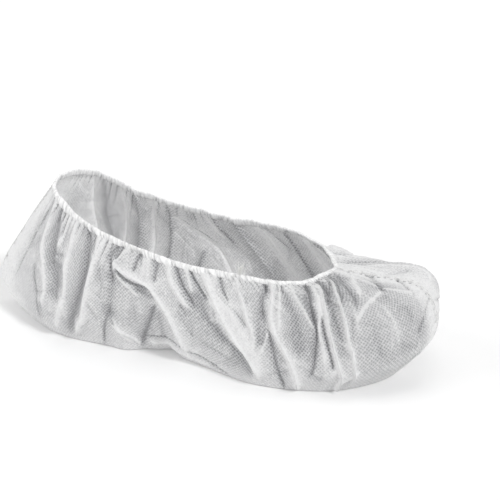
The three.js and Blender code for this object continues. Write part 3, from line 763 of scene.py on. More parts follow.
@dataclass(frozen=True)
class SewingThread:
    """Spun polyester overlock thread: soft white, two plies twisted together, a little fuzzy."""

    light: str = "#F6F6F4"
    shade: str = "#D2D2D0"
    twist: float = 1.2  # one turn of the plies, drawn coarser than the real 0.6 so that it shows
    slant: float = 35  # degrees of the plies
    ply_depth: float = 0.1
    roughness: float = 0.7

    def make(self) -> bpy.types.Material:
        """Makes the material: slanted plies along the thread.

        Returns:
            The material.
        """
        material, node = empty_material("spun polyester thread")
        cloth = node("UVMap", uv_map="cloth")
        scale = (1 / self.twist, 1 / self.twist, 1)
        slant = (0, 0, np.radians(self.slant))
        turned = node("Mapping", {"Vector": cloth, "Rotation": slant, "Scale": scale})
        ply = node("TexWave", {"Vector": turned, "Scale": 1.0, "Distortion": 0.6, "Detail": 1.0}, "Fac")
        colour = node("Mix", {0: ply, FROM: linear(self.shade), TO: linear(self.light)}, **BLEND)
        bump = node("Bump", {"Strength": 0.4, "Distance": self.ply_depth * MM, "Height": ply})
        soft = {"Roughness": self.roughness, "Specular IOR Level": 0.3, "Sheen Weight": 0.15}
        front = node("BsdfPrincipled", {"Base Color": colour, **soft, "Normal": bump})
        node("OutputMaterial", {"Surface": front})
        return material


@dataclass(frozen=True)
class StudioPaper:
    """Matt white background paper under the cover: no gloss, and a soft shadow."""

    colour: str = "#F7F7F7"
    roughness: float = 0.95

    def make(self) -> bpy.types.Material:
        """Makes the plain matt material.

        Returns:
            The material.
        """
        material, node = empty_material("white studio paper")
        front = node("BsdfPrincipled", {"Base Color": linear(self.colour), "Roughness": self.roughness})
        node("OutputMaterial", {"Surface": front})
        return material


@dataclass(frozen=True)
class Wall:
    """The wall of a panel laid out flat: shares along from heel to toe, and up from floor to hem."""

    along: np.ndarray  # of each column
    up: np.ndarray  # of each row and column
    girth: float = 390  # length over which the shares along are laid out
    rise: float = 95  # length over which the shares up are laid out
    smooth_zone: Edges = (0.56, 0.62, 0.7, 0.77)  # shares along where the hem runs smooth, beside the ball

    @property
    def from_seam(self) -> np.ndarray:
        """The distance of each column from the nearer seam."""
        return self.girth * np.minimum(self.along, 1 - self.along)

    @property
    def smooth(self) -> np.ndarray:
        """How smooth the hem runs over each column, from 0 to 1."""
        return plateau(self.smooth_zone, self.along)


@dataclass(frozen=True)
class Folding:
    """The form of the large folds with their painted lines, and the small stray creases between them."""

    taper: float = 0.16  # share of a fold's length over which each end tapers
    readings: int = 5  # of a curved fold from one of its places to the next
    steepness: float = 5.0  # of the crest, against the sides
    crest: Triple = (0.62, 0.4, 1.0)  # of a ridge: share that is steep, strength and width of painted highlight
    cleft: Triple = (0.5, 0.4, 0.85)  # of a valley: share that is steep, strength and width of painted shade
    line_rise: float = 2.0  # rise of a fold from which its painted line is full
    line_bend: float = 1.3  # radius of a crest from which it has no painted line
    creases: int = 200
    crease_zone: Edges = (0.03, 0.97, 0.1, 0.92)  # shares along and up between which they lie
    crease_stray: float = 0.75  # radians from upright
    crease_long: Pair = (10, 30)
    crease_wide: Pair = (1.6, 4)
    crease_rise: Pair = (0.24, 0.8)
    crease_bend: float = 0.6

    def relief(self, fold: Fold, wall: Wall) -> tuple[np.ndarray, np.ndarray]:
        """A fold's height over the smooth wall, and the narrow painted line along it.

        At distance d from its line, with c = root(d² + bend²) - bend, the height is the rise times a mix
        of exp(-c / width) and a steeper exp(-5c / width), so the crest is crisp and the sides run out,
        with a width for each side. The line is a bell over d, a painted highlight on a crest and painted
        shade in a cleft, full for folds that are high enough and gone on those that bend in a wide round.
        Both ends taper.

        Args:
            fold: the fold.
            wall: the wall that it lies on.

        Returns:
            The height at each place, and the painted shade there, below 0 where it is a painted highlight.
        """
        laid = np.stack(np.broadcast_arrays(wall.along * wall.girth, wall.up * wall.rise), axis=-1)
        stops = np.array(fold.path)[:, None] / SHARES * (wall.girth, wall.rise)
        legs = len(stops) - 1
        readings = 2 if legs == 1 else self.readings * legs + 1
        path = curve_through(stops, np.linspace(0, 1, readings)[:, None])[:, 0]
        away, share = from_path(path, laid)
        runs_up = path[-1, 1] > path[0, 1]
        width = np.where((away > 0) == runs_up, fold.heelward, fold.toeward)
        taper = smoothstep(0, self.taper, share) * smoothstep(0, self.taper, 1 - share)
        bent = np.sqrt(away**2 + fold.bend**2) - fold.bend
        steep, strength, reach = self.crest if fold.rise > 0 else self.cleft
        form = (1 - steep) * np.exp(-bent / width) + steep * np.exp(-self.steepness * bent / width)
        # The painted line: a highlight on a crest, shade in a cleft.
        mark = np.clip(fold.rise / self.line_rise, -1, 1) * np.clip(self.line_bend - fold.bend, 0, 1)
        return fold.rise * taper * form, -strength * mark * taper * np.exp(-((away / reach) ** 2))

    def stray_creases(self, spread: np.random.Generator, wall: Wall) -> list[Fold]:
        """Small straight creases strewn over the wall, at every slant, half of them standing out.

        Args:
            spread: the source of their places.
            wall: the wall.

        Returns:
            The creases.
        """
        count, zone = self.creases, self.crease_zone
        middle = np.stack([spread.uniform(*zone[:2], count), spread.uniform(*zone[2:], count)], axis=1)
        slant = spread.normal(np.pi / 2, self.crease_stray, count)
        long = spread.uniform(*self.crease_long, count)[:, None]
        reach = np.stack([np.cos(slant), np.sin(slant)], axis=1) * long / (wall.girth, wall.rise)
        rise = spread.uniform(*self.crease_rise, count) * spread.choice([-1, 1], count)
        width = spread.uniform(*self.crease_wide, count)
        ends = np.stack([middle - reach / 2, middle + reach / 2], axis=1) * SHARES
        return [
            Fold(f"crease_{i}", r, w, w, self.crease_bend, tuple(map(tuple, path)))
            for i, (r, w, path) in enumerate(zip(rise, width, ends))
        ]


@dataclass(frozen=True)
class HemPleats:
    """The small pleats that the elastic gathers under the hem."""

    count: int = 66
    depth: Pair = (1.0, 2.8)
    reach: Pair = (3, 15)
    slant: float = 0.4  # how far they slant sideways for each millimetre down
    parting: Pair = (0.42, 0.06)  # share along where they slant apart, and over how much
    powers: Pair = (0.65, 0.75)  # what moves the peak of an arch heelward, and what blunts it
    level: float = 0.7  # share of an arch that lies below the smooth wall
    calm: float = 0.4  # how much shallower they are where the hem runs smooth
    heel: Triple = (0.4, 0.05, 0.15)  # how deep at the heel, and shares along over which that grows
    shade: float = 1.1  # painted shade in their clefts

    def relief(self, spread: np.random.Generator, wall: Wall) -> np.ndarray:
        """The height of the pleats over the smooth wall.

        Each is a blunt arch, a root of a sine that peaks on its heelward side, with a sharp cleft to the
        next, and dies away downwards over its own reach. Behind the waist they slant to the heel as they
        run down, in front of it to the toe.

        Args:
            spread: the source of their depths and reaches.
            wall: the wall.

        Returns:
            The height at each place, rows by columns.
        """
        below = wall.rise * (1 - wall.up)
        parting, turn = self.parting
        slant = self.slant * np.tanh((wall.along - parting) / turn)
        passed, number = waves(spread, wall.along - slant * below / wall.girth, self.count)
        depth = spread.uniform(*self.depth, number.max() + 1)
        reach = spread.uniform(*self.reach, number.max() + 1)
        gathered = (1 - self.calm * wall.smooth) * grown(self.heel, wall.along)
        peak, blunt = self.powers
        arch = np.sin(np.pi * passed**peak) ** blunt
        return gathered * depth[number] * (arch - self.level) * np.exp(-below / reach[number])


@dataclass(frozen=True)
class Puckers:
    """The puckers that the thread draws in beside a sewn edge."""

    count: int = 13
    depth: Pair = (0.3, 1.0)
    peak: float = 4.0  # distance from the edge at which they are highest
    fade: Pair = (0.02, 0.1)  # shares up over which they come out of the floor

    def relief(self, spread: np.random.Generator, from_edge: np.ndarray, run: np.ndarray) -> np.ndarray:
        """The height of the puckers: arches along the edge, nothing at the stitches and gone further out.

        Args:
            spread: the source of their depths.
            from_edge: distance from the sewn edge.
            run: share along the edge.

        Returns:
            The height at each place.
        """
        passed, number = waves(spread, run, self.count)
        count = number.max() + 1
        depth = spread.uniform(*self.depth, count) * spread.choice([-1, 1], count)
        off = from_edge / self.peak
        return depth[number] * np.sin(np.pi * passed) * off * np.exp(1 - off)


@dataclass(frozen=True)
class NeedleMarks:
    """The dents of the stitches, in a row beside each sewn edge."""

    seen: float = 1.0  # how plain they are on this panel
    pitch: float = 4.0
    inset: float = 1.6
    width: float = 0.8
    dent: float = 0.9
    fade: Pair = (0.05, 0.12)  # shares up over which they come out of the floor
    heel: float = 0.4  # how plain they are at the heel
    toe: Triple = (0.3, 0.5, 0.62)  # how plain low on the toe, and shares up over which that grows

    def depths(self, wall: Wall, climb: np.ndarray) -> np.ndarray:
        """How deep in a dent each place lies: across the row a bell, along it the upper half of a cosine.

        Args:
            wall: the wall.
            climb: distances up it, rows by columns.

        Returns:
            Depths from 0 to 1, rows by columns.
        """
        line = np.exp(-(((wall.from_seam - self.inset) / self.width) ** 2))
        beat = np.clip(np.cos(TURN * climb / self.pitch), 0, 1)
        plain = np.where(wall.along > 0.5, grown(self.toe, wall.up), self.heel)
        return line * beat * plain * self.seen * smoothstep(*self.fade, wall.up)


@dataclass(frozen=True)
class HollowShade:
    """The painted shade of the folds: how grey the finish paints the cloth where it lies in a fold."""

    # How strong the painted shade is on this panel.
    strength: float = 1.0
    start: float = 0.08  # painted shade that every place has
    span: Pair = (-1.8, 2.6)  # how far into a fold the painted shade starts, and where it is full
    close: Edges = (0.05, 0.2, 0.92, 0.985)  # shares along where the cloth lies close, with most painted shade
    floor: Triple = (0.5, 0, 0.3)  # painted shade at the floor, and shares up over which it grows
    slack: float = 0.05  # how strong the painted shade is where the cloth is slack
    toe: Edges = (0.7, 0.8, 0.88, 0.98)  # shares along where the side of the toe gets more painted shade
    toe_up: Pair = (0.15, 0.4)  # shares up over which it grows so
    toe_span: Pair = (-1.5, 0.3)  # as span, for the side of the toe
    # Painted shade added on the side of the toe.
    toe_shade: float = 0.12
    hem_pale: Pair = (0.3, 6)  # how much less painted shade just under the hem, and over what distance
    lines: Pair = (-0.7, 0.5)  # how far the painted lines along folds may lighten and darken the cloth

    def depths(self, wall: Wall, height: np.ndarray, shade: np.ndarray) -> np.ndarray:
        """The painted shade at each place, for how deep it lies in a fold.

        It is a smooth step over the height, full where the cloth lies close, a little more on the side of
        the toe and less just under the hem, with the painted highlights and shade of lines and the painted
        shade of pleats on top.

        Args:
            wall: the wall.
            height: the cloth's height over its smooth form, rows by columns.
            shade: the painted shade of lines and pleats, below 0 for painted highlights.

        Returns:
            Painted shade from 0 to 1, rows by columns.
        """
        close = plateau(self.close, wall.along) * grown(self.floor, wall.up)
        deep = self.start + smoothstep(*self.span, -height)
        deep *= self.slack + (1 - self.slack) * close
        toe = plateau(self.toe, wall.along) * smoothstep(*self.toe_up, wall.up)
        deep += self.toe_shade * toe * smoothstep(*self.toe_span, -height)
        pale, reach = self.hem_pale
        bright = pale * np.exp((wall.up - wall.up[-1]) * wall.rise / reach)
        return np.clip(self.strength * deep - bright + shade, 0, 1)


@dataclass
class Panel:
    """One panel of cloth: half the sole, then the wall from heel seam to toe seam up to the hem."""

    side: Side
    sections: tuple[Section, ...]
    folds: tuple[Fold, ...]
    node: str
    seed: int
    bulges: tuple[Bulge, ...] = ()
    hollow_shading: HollowShade = HollowShade()
    stitches: NeedleMarks = NeedleMarks()
    folding: Folding = Folding()
    pleats: HemPleats = HemPleats()
    puckers: Puckers = Puckers()
    columns: int = 560
    wall_rows: int = 150
    sole_rows: int = 18
    edge: float = 0.7  # from the middle plane to the sewn edge
    tuck: float = 2.2  # the panel's upper edge lies this far under the hem's
    sole_middle: float = 0.94  # length of the sole's middle line as a share of the foot outline
    sole_lift: float = 1.2  # height of the sole's puckers against those of the wall
    sole_shade: float = 0.2  # painted shade that the whole sole takes
    belly_share: float = 0.25  # how much of a bulge of the foot the belly takes
    corner_rows: float = 1.5  # rows over which the corner at the floor is rounded
    corner_rounds: int = 3
    floor_fade: float = 0.07  # share up the wall over which folds come out of the floor
    seam_fade: float = 4.0  # distance over which they come out of the seam
    hem_zone: Pair = (0.93, 0.995)  # shares up over which the elastic presses folds flat
    hem_hold: Pair = (0.6, 0.25)  # share of the folds that it presses flat, and more where it runs smooth
    hem_rows: int = 7  # rows over which the direction up to the hem is taken
    flat_size: Pair = (390, 145)  # the length and height that it was cut to
    flat_area: float = 0.0525  # square metres, the corners of the cut being round
    top_path: np.ndarray = field(init=False)
    hem_way: np.ndarray = field(init=False)

    def rails(self, along: np.ndarray) -> np.ndarray:
        """The four lines that the sections set out, read at shares along.

        Args:
            along: shares from heel to toe.

        Returns:
            Four lines by readings by 3.
        """
        table = np.array([[row.foot, row.belly, row.shoulder, row.hem] for row in self.sections], float)
        table[..., 1] = self.side.value * (self.edge + table[..., 1])
        return curve_through(table, np.repeat(along[:, None], 4, axis=1)).transpose(1, 0, 2)

    def wall_shares(self, along: np.ndarray) -> np.ndarray:
        """Shares up the wall of each row and column.

        The wall's curve has equal shares for its three stretches, so the tuck is taken off as a share of
        three times the last stretch, from shoulder to hem.

        Args:
            along: shares from heel to toe.

        Returns:
            Rows by columns.
        """
        _, _, shoulder, hem = self.rails(along)
        top = 1 - self.tuck / (3 * np.linalg.norm(hem - shoulder, axis=1))
        return np.linspace(0, 1, self.wall_rows + 1)[:, None] * top

    def relief(self, wall: Wall) -> tuple[np.ndarray, np.ndarray]:
        """The cloth's height over its smooth form, from all folds, pleats and puckers, and their painted
        shade.

        Args:
            wall: the wall.

        Returns:
            The height, and the painted shade of lines and pleats, below 0 for painted highlights, rows by
            columns.
        """
        spread = np.random.default_rng(self.seed)
        height, lines = np.sum([self.folding.relief(fold, wall) for fold in self.folds], axis=0)
        creases = self.folding.stray_creases(spread, wall)
        height += sum(self.folding.relief(crease, wall)[0] for crease in creases)
        hold, more = self.hem_hold
        height *= 1 - (hold + more * wall.smooth) * smoothstep(*self.hem_zone, wall.up)
        pleats = self.pleats.relief(spread, wall)
        height += pleats
        height *= smoothstep(0, self.floor_fade, wall.up) * smoothstep(0, self.seam_fade, wall.from_seam)
        for edge in (wall.along, 1 - wall.along):
            puckers = self.puckers.relief(spread, wall.girth * edge, wall.up)
            height += puckers * smoothstep(*self.puckers.fade, wall.up)
        # Painted shade in the pleats' clefts, and the painted highlights and shade of the lines along
        # folds.
        return height, self.pleats.shade * smoothstep(0, 1, -pleats) + np.clip(lines, *self.hollow_shading.lines)

    def sole(self, foot: np.ndarray) -> np.ndarray:
        """Half the sole, straight from its middle line to the foot outline, puckered beside the seam.

        Args:
            foot: the foot outline, columns by 3.

        Returns:
            Points, rows by columns by 3.
        """
        edge = np.full(len(foot), self.side.value * self.edge)
        middle = np.stack([self.sole_middle * foot[:, 0], edge], axis=1)
        share = np.linspace(0, 1, self.sole_rows, endpoint=False)[:, None, None]
        flat = middle + share * (foot[:, :2] - middle)
        run = (flat[..., 0] - flat[..., 0].min()) / np.ptp(flat[..., 0])
        spread = np.random.default_rng(self.seed + 1)
        lift = np.abs(self.puckers.relief(spread, np.abs(flat[..., 1]) - self.edge, run))
        return np.concatenate([flat, self.sole_lift * lift[..., None]], axis=-1)

    def surface(self) -> tuple[np.ndarray, np.ndarray, np.ndarray]:
        """The cloth's outer face, the painted shade of its folds, and that where the needle went in.

        The wall is the smooth form moved along its own outward direction by the relief, and the corner
        between it and the sole is rounded by averaging neighbouring rows.

        Returns:
            Points, rows by columns by 3, then the painted shade of folds and of needle marks from 0 to 1,
            rows by columns.
        """
        along = np.linspace(0, 1, self.columns + 1)
        wall = Wall(along, self.wall_shares(along))
        rails = self.rails(along)
        for bulge in self.bulges:
            shift = self.side.value * bulge.shift * np.exp(-(((along - bulge.at) / bulge.reach) ** 2))
            rails[0, :, 1] += shift
            rails[1, :, 1] += self.belly_share * shift
        smooth = curve_through(rails, wall.up)
        out = unit(np.cross(np.gradient(smooth, axis=1), np.gradient(smooth, axis=0)) * -self.side.value)
        out[:, [0, -1], 1] = 0
        height, shade = self.relief(wall)
        sewn = self.stitches.depths(wall, runs(smooth))
        height -= self.stitches.dent * sewn
        face = smooth + height[..., None] * unit(out)
        self.top_path = swayed(face[-1])
        self.hem_way = unit(smooth[-1] - smooth[-1 - self.hem_rows])
        points = np.concatenate([self.sole(rails[0]), face])
        near = np.exp(-(((np.arange(len(points)) - self.sole_rows) / self.corner_rows) ** 2))
        for _ in range(self.corner_rounds):
            mean = (points[:-2] + points[2:]) / 2
            points[1:-1] += near[1:-1, None, None] / 2 * (mean - points[1:-1])
        points[..., 2] = np.maximum(points[..., 2], 0)
        # Painted shade: even on the sole, by the folds on the wall, and inside the stitch dents.
        depth, marks = np.full(points.shape[:2], self.sole_shade), np.zeros(points.shape[:2])
        depth[self.sole_rows :] = self.hollow_shading.depths(wall, height, shade)
        marks[self.sole_rows :] = sewn
        return swayed(points), depth, marks

    def build(self) -> bpy.types.Object:
        """Makes the panel's mesh.

        The cloth's own coordinates run along the belly, and up and down from it in each column.

        Returns:
            The panel's object.
        """
        points, depth, stitch = self.surface()
        belly = self.sole_rows + self.wall_rows // 3
        climb = runs(points)
        cloth = np.stack(np.broadcast_arrays(runs(points[belly]), climb - climb[belly]), axis=-1)
        if self.side is Side.INNER:
            points, cloth, depth, stitch = (rows[:, ::-1] for rows in (points, cloth, depth, stitch))
        # Painted shade of the folds and of the stitch dents, read by the finish.
        marks = {"hollow_shade": depth, "stitch": stitch}
        return make_mesh(f"{self.node}_cloth", points[None], cloth[None], Form.SHEET, marks)

    def dress(self, piece: bpy.types.Object, finish: bpy.types.Material) -> None:
        """Gives the panel its cloth and its place in the frame.

        Args:
            piece: the panel's object.
            finish: its material.
        """
        piece.data.materials.append(finish)
        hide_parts(self.node)
        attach(piece, "root")


class OverlockedEdge:
    """A rolled edge of cloth and the overlock thread that holds it, in place of one solid."""

    node: ClassVar[str]
    rolled_slot: ClassVar[str]

    def dress(
        self,
        rolled: bpy.types.Object,
        thread: bpy.types.Object,
        cloth: bpy.types.Material,
        yarn: bpy.types.Material,
    ) -> None:
        """Gives the edge its finishes and its place in the frame.

        Args:
            rolled: the rolled cloth.
            thread: its overlock thread.
            cloth: the finish of the cloth.
            yarn: the finish of the thread.
        """
        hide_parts(self.node)
        for piece, finish, slot in ((rolled, cloth, self.rolled_slot), (thread, yarn, "seam_thread")):
            piece.data.materials.append(finish)
            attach(piece, "root")


@dataclass
class ElasticHem(OverlockedEdge):
    """The hem: cloth rolled and gathered over an elastic, and the overlock thread that holds it."""

    node: ClassVar[str] = "elastic_hem"
    rolled_slot: ClassVar[str] = "elastic_hem"
    panels: tuple[Panel, Panel]
    seed: int = 11
    stops: int = 1500
    sides: int = 14
    rounds: int = 30  # how often its line is averaged
    tall: float = 4.0
    thick: float = 2.4
    smooth_zone: Pair = (0.58, 0.66)  # shares along over which it grows smooth to the toe
    smooth_hold: float = 0.6  # share of the gathers that fades there
    slim: float = 0.2  # how much slimmer it is without gathers
    scallop: float = 4.0  # width of one gather of the roll
    scallop_depth: float = 0.78  # share of the roll's thickness between two gathers
    scallop_uneven: Pair = (0.3, 1)  # how gathers differ in depth
    scallop_power: float = 0.75  # what blunts the arch of a gather
    bite: Pair = (0.65, 0.35)  # depth between gathers at half height, and more at the lower edge
    drifts: tuple[Triple, ...] = ((0.8, 13, 0), (0.6, 31, 1))  # of uneven widths: push, times, phase
    slant: float = 0.12  # how far a gather leans from the lower side of the roll to the upper, in gathers
    droop: float = 0.9  # how far the roll's lower edge hangs unevenly, as a share of its half height
    droop_pace: float = 0.55  # hanging places to a gather
    swell: float = 0.16  # how much gathers differ in size
    sink: float = 0.7  # how far the roll's lower edge lies in, so that the pleats run up over it
    thread: float = 0.18
    stitch: float = 3.0
    stitch_steps: int = 12
    swing: float = 0.96  # how close the thread's way is to a triangle wave, below 1
    swing_angles: Pair = (0.25, 1.25)  # its middle, from straight out, and its reach, in radians
    path: np.ndarray = field(init=False)
    across: np.ndarray = field(init=False)
    out: np.ndarray = field(init=False)
    gathered: np.ndarray = field(init=False)
    length: float = field(init=False)

    def lay_out(self) -> None:
        """Sets out the ring: the panels' upper edges, one forwards and one back, at even steps.

        The directions up the wall go along with it, and the outward one is square to both.
        """
        first, second = self.panels
        edge = np.concatenate([first.top_path, second.top_path[::-1]])
        way = np.concatenate([first.hem_way, second.hem_way[::-1]])
        share = np.linspace(0, 1, first.columns + 1)
        strength = 1 - self.smooth_hold * smoothstep(*self.smooth_zone, share)
        both = np.concatenate([strength, strength[::-1]])
        even = evenly(np.concatenate([edge, way, both[:, None]], axis=1), self.stops, Form.RING)
        smooth = smoothed(even[:, :6], self.rounds, Form.RING)
        self.path, self.across = smooth[:, :3], unit(smooth[:, 3:])
        self.out = unit(np.cross(steps_of(self.path, Form.RING), self.across))
        self.gathered = even[:, 6]
        self.length = runs(closed(self.path))[-1]

    def build_roll(self) -> bpy.types.Object:
        """Makes the rolled hem, an oval carried round the ring.

        Its size swells and shrinks as the arch of a sine over each gather, most at the lower edge, and the
        gathers lean, so the phase at angle a is the length run plus the slant times the cosine of a.

        Returns:
            The roll's object.
        """
        spread = np.random.default_rng(self.seed)
        share = np.arange(self.stops) / self.stops
        count = round(self.length / self.scallop)
        phase = count * share
        for push, often, start in self.drifts:
            phase = phase + push * np.sin(TURN * often * share + start)
        numbers = np.arange(-2, count + 4)  # a few more at both ends, for the drift
        uneven = np.interp(phase, numbers, spread.uniform(*self.scallop_uneven, len(numbers)))
        hang = np.interp(self.droop_pace * phase, numbers, spread.uniform(0, self.droop, len(numbers)))
        swell = np.interp(phase, numbers, spread.uniform(-self.swell, self.swell, len(numbers)))
        cosine = np.cos(np.linspace(0, TURN, self.sides, endpoint=False))
        lower = np.clip(-cosine, 0, 1)
        arch = np.abs(np.sin(np.pi * (phase[:, None] + self.slant * cosine))) ** self.scallop_power
        middle, more = self.bite
        bite = self.scallop_depth * (self.gathered * uneven)[:, None] * (1 - arch)
        bite = bite * (middle - more * cosine)
        size = 1 - bite + (self.gathered * hang)[:, None] * lower
        size *= (1 - self.slim * (1 - self.gathered) + self.gathered * swell)[:, None]
        points = tube(self.path, self.across, self.out, self.tall * size, self.thick * size, self.sides)
        points -= self.sink * (lower[:, None] * self.out[:, None])
        run = np.linspace(0, self.length, self.stops + 1)
        cloth = wrapped(np.pi * (self.tall + self.thick) / 2, self.sides, run)
        # Painted shade in the creases between gathers.
        hollow_shade = np.clip(bite / self.scallop_depth, 0, 1)
        return make_mesh("hem_roll", points[None], cloth[None], Form.RING, {"hollow_shade": hollow_shade})

    def build_thread(self) -> bpy.types.Object:
        """Makes the overlock thread, a fine tube that runs up and down the roll's outer face.

        Its angle on the roll swings as a rounded triangle wave, one swing to a stitch.

        Returns:
            The thread's object.
        """
        count = round(self.length / self.stitch)
        share = np.arange(self.stitch_steps * count) / (self.stitch_steps * count)
        ring = np.concatenate([self.path, self.across, self.out, self.gathered[:, None]], axis=1)
        read = read_at(closed(ring), share * self.stops, np.arange(self.stops + 1))
        swing = np.arcsin(self.swing * np.sin(TURN * count * share)) / np.arcsin(self.swing)
        middle, reach = self.swing_angles
        angle = np.pi / 2 + middle + reach * swing
        size = (1 - self.slim * (1 - read[:, 9])) / 2
        over = size * self.tall * np.cos(angle)
        up = size * self.thick * np.sin(angle) - self.sink * np.clip(-np.cos(angle), 0, 1)
        centre = read[:, :3] + over[:, None] * unit(read[:, 3:6]) + up[:, None] * unit(read[:, 6:9])
        return overlock("hem_thread", centre, read[:, :3], self.thread, self.length, Form.RING)


@dataclass
class CentreSeam(OverlockedEdge):
    """The sewn seam in the middle plane: its rolled allowance and the overlock thread round it."""

    node: ClassVar[str] = "centre_seam"
    rolled_slot: ClassVar[str] = "seam_thread"
    panel: Panel
    stops: int = 700
    sides: int = 10
    readings: int = 120  # of the line up the heel, and of that up the toe
    rounds: int = 40  # how often its line is averaged
    wide: float = 2.0
    deep: float = 2.2
    sunk: float = 0.5  # how far the allowance lies inside the cloth's face
    pucker: float = 7.0
    pucker_drift: Pair = (0.3, 31)  # how far puckers are pushed to and fro, and over what length
    pucker_wide: Pair = (0.8, 0.3)  # width between puckers, and how much more on them
    pucker_deep: Pair = (0.85, 0.15)  # depth, likewise
    # Painted shade between the puckers.
    pucker_shade: float = 0.6
    thread: float = 0.4
    thread_ends: Pair = (0.004, 0.996)  # shares of the seam where the thread starts and ends
    thread_clear: float = 1.08  # how far it stands off the sides, as a share of half the width
    stitch: float = 2.8
    stitch_steps: int = 14
    path: np.ndarray = field(init=False)
    out: np.ndarray = field(init=False)
    length: float = field(init=False)

    def lay_out(self) -> None:
        """Sets out the seam's line: down the heel, along the floor and up the toe, at even steps.

        The corners at the floor are rounded by averaging neighbours, and the line lies a little inside
        the cloth's face.
        """
        share = np.linspace(0, 1, self.readings)
        ends = np.array([0.0, 1.0])
        heel, toe = (
            curve_through(self.panel.rails(np.array([end])), share[:, None])[share <= reach, 0]
            for end, reach in zip(ends, self.panel.wall_shares(ends)[-1])
        )
        path = evenly(np.concatenate([heel[::-1], toe]), self.stops, Form.TUBE)
        path[:, 1] = 0
        path = smoothed(path, self.rounds, Form.TUBE)
        along = steps_of(path, Form.TUBE)
        self.out = np.stack([along[:, 2], np.zeros(len(along)), -along[:, 0]], axis=1)
        path -= self.sunk * self.out
        path[:, 2] = np.maximum(path[:, 2], self.deep / 2)
        self.path = swayed(path)
        self.length = runs(self.path)[-1]

    def build_allowance(self) -> bpy.types.Object:
        """Makes the rolled allowance, an oval whose width swells and shrinks over each pucker.

        Returns:
            The allowance's object.
        """
        run = np.linspace(0, self.length, self.stops)
        push, pace = self.pucker_drift
        arch = np.abs(np.sin(np.pi * (run / self.pucker + push * np.sin(run / pace))))[:, None]
        across = np.broadcast_to(ACROSS, self.path.shape)
        wide = self.wide * (self.pucker_wide[0] + self.pucker_wide[1] * arch)
        deep = self.deep * (self.pucker_deep[0] + self.pucker_deep[1] * arch)
        points = tube(self.path, across, self.out, wide, deep, self.sides)
        cloth = wrapped(np.pi * (self.wide + self.deep) / 2, self.sides, run)
        # Painted shade between the puckers.
        hollow_shade = np.broadcast_to(self.pucker_shade * (1 - arch), points.shape[:2])
        return make_mesh("seam_allowance", points[None], cloth[None], Form.TUBE, {"hollow_shade": hollow_shade})

    def build_thread(self) -> bpy.types.Object:
        """Makes the overlock thread, a fine tube wound round the allowance, one turn to a stitch.

        Returns:
            The thread's object.
        """
        turns = round(self.length / self.stitch)
        share = np.linspace(*self.thread_ends, self.stitch_steps * turns)
        line = np.concatenate([self.path, self.out], axis=1)
        read = read_at(line, share * (self.stops - 1), np.arange(self.stops))
        angle = TURN * turns * share
        over = np.cos(angle) * self.wide / 2 * self.thread_clear
        up = np.sin(angle) * self.deep / 2
        centre = read[:, :3] + over[:, None] * ACROSS + up[:, None] * unit(read[:, 3:])
        centre[:, 2] = np.maximum(centre[:, 2], self.thread / 2)
        return overlock("seam_thread", centre, read[:, :3], self.thread, self.length, Form.TUBE)


@dataclass
class ThreadTail:
    """The tuft of cut thread ends that stands up from the hem."""

    hem: ElasticHem
    seed: int = 5
    at: float = 0.6  # share along the outer panel
    ends: int = 26
    stops: int = 9
    sides: int = 6
    tall: Pair = (3.0, 9.5)
    thread: float = 0.3
    foot: float = 1.2  # how far up in the hem the ends start
    foot_spread: Triple = (1.1, 0.3, 0)  # how far apart they start, in x, y and z
    lean: tuple[Triple, Triple] = ((-0.2, 0.1, 0), (0.9, 0.5, 0))  # its mean and how far ends differ
    bend: tuple[Triple, Triple] = ((1.3, 0, -0.5), (0.9, 0.6, 0.4))  # likewise
    run: float = 8.0  # length of thread that its plies are laid over

    def build(self) -> bpy.types.Object:
        """Makes the thread ends, each a fine tube along a curve that leans and bends over.

        At share t an end lies t times its lean plus t² times its bend off the foot, and t times its height
        up.

        Returns:
            The tuft's object.
        """
        spread = np.random.default_rng(self.seed)
        panel = self.hem.panels[0]
        column = round(self.at * panel.columns)
        foot = panel.top_path[column] + self.foot * panel.hem_way[column]
        t = np.linspace(0, 1, self.stops)[:, None]
        each = (self.ends, 1, 3)
        lean = spread.normal(*self.lean, each)
        bend = spread.normal(*self.bend, each)
        rise = spread.uniform(*self.tall, (self.ends, 1, 1)) * np.array((0, 0, 1))
        start = spread.normal(0, self.foot_spread, each)
        lines = foot + start + t * (lean + rise) + t**2 * bend
        along = unit(np.gradient(lines, axis=1)).reshape(-1, 3)
        across = unit(np.cross(along, ACROSS))
        out = unit(np.cross(across, along))
        points = tube(lines.reshape(-1, 3), across, out, self.thread, self.thread, self.sides)
        cloth = wrapped(np.pi * self.thread, self.sides, self.run * t[:, 0])
        return make_mesh(
            "thread_tail",
            points.reshape(self.ends, self.stops, self.sides, 3),
            np.repeat(cloth[None], self.ends, axis=0),
            Form.TUBE,
        )

    def dress(self, piece: bpy.types.Object, yarn: bpy.types.Material) -> None:
        """Gives the tuft its finish and its place in the frame.

        Args:
            piece: the tuft.
            yarn: its material.
        """
        piece.data.materials.append(yarn)
        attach(piece, "root")


@dataclass(frozen=True)
class Lamp:
    """A soft sun, with the side that it shines from, its spread in degrees and its power."""

    name: str
    source: Triple
    spread: float
    power: float


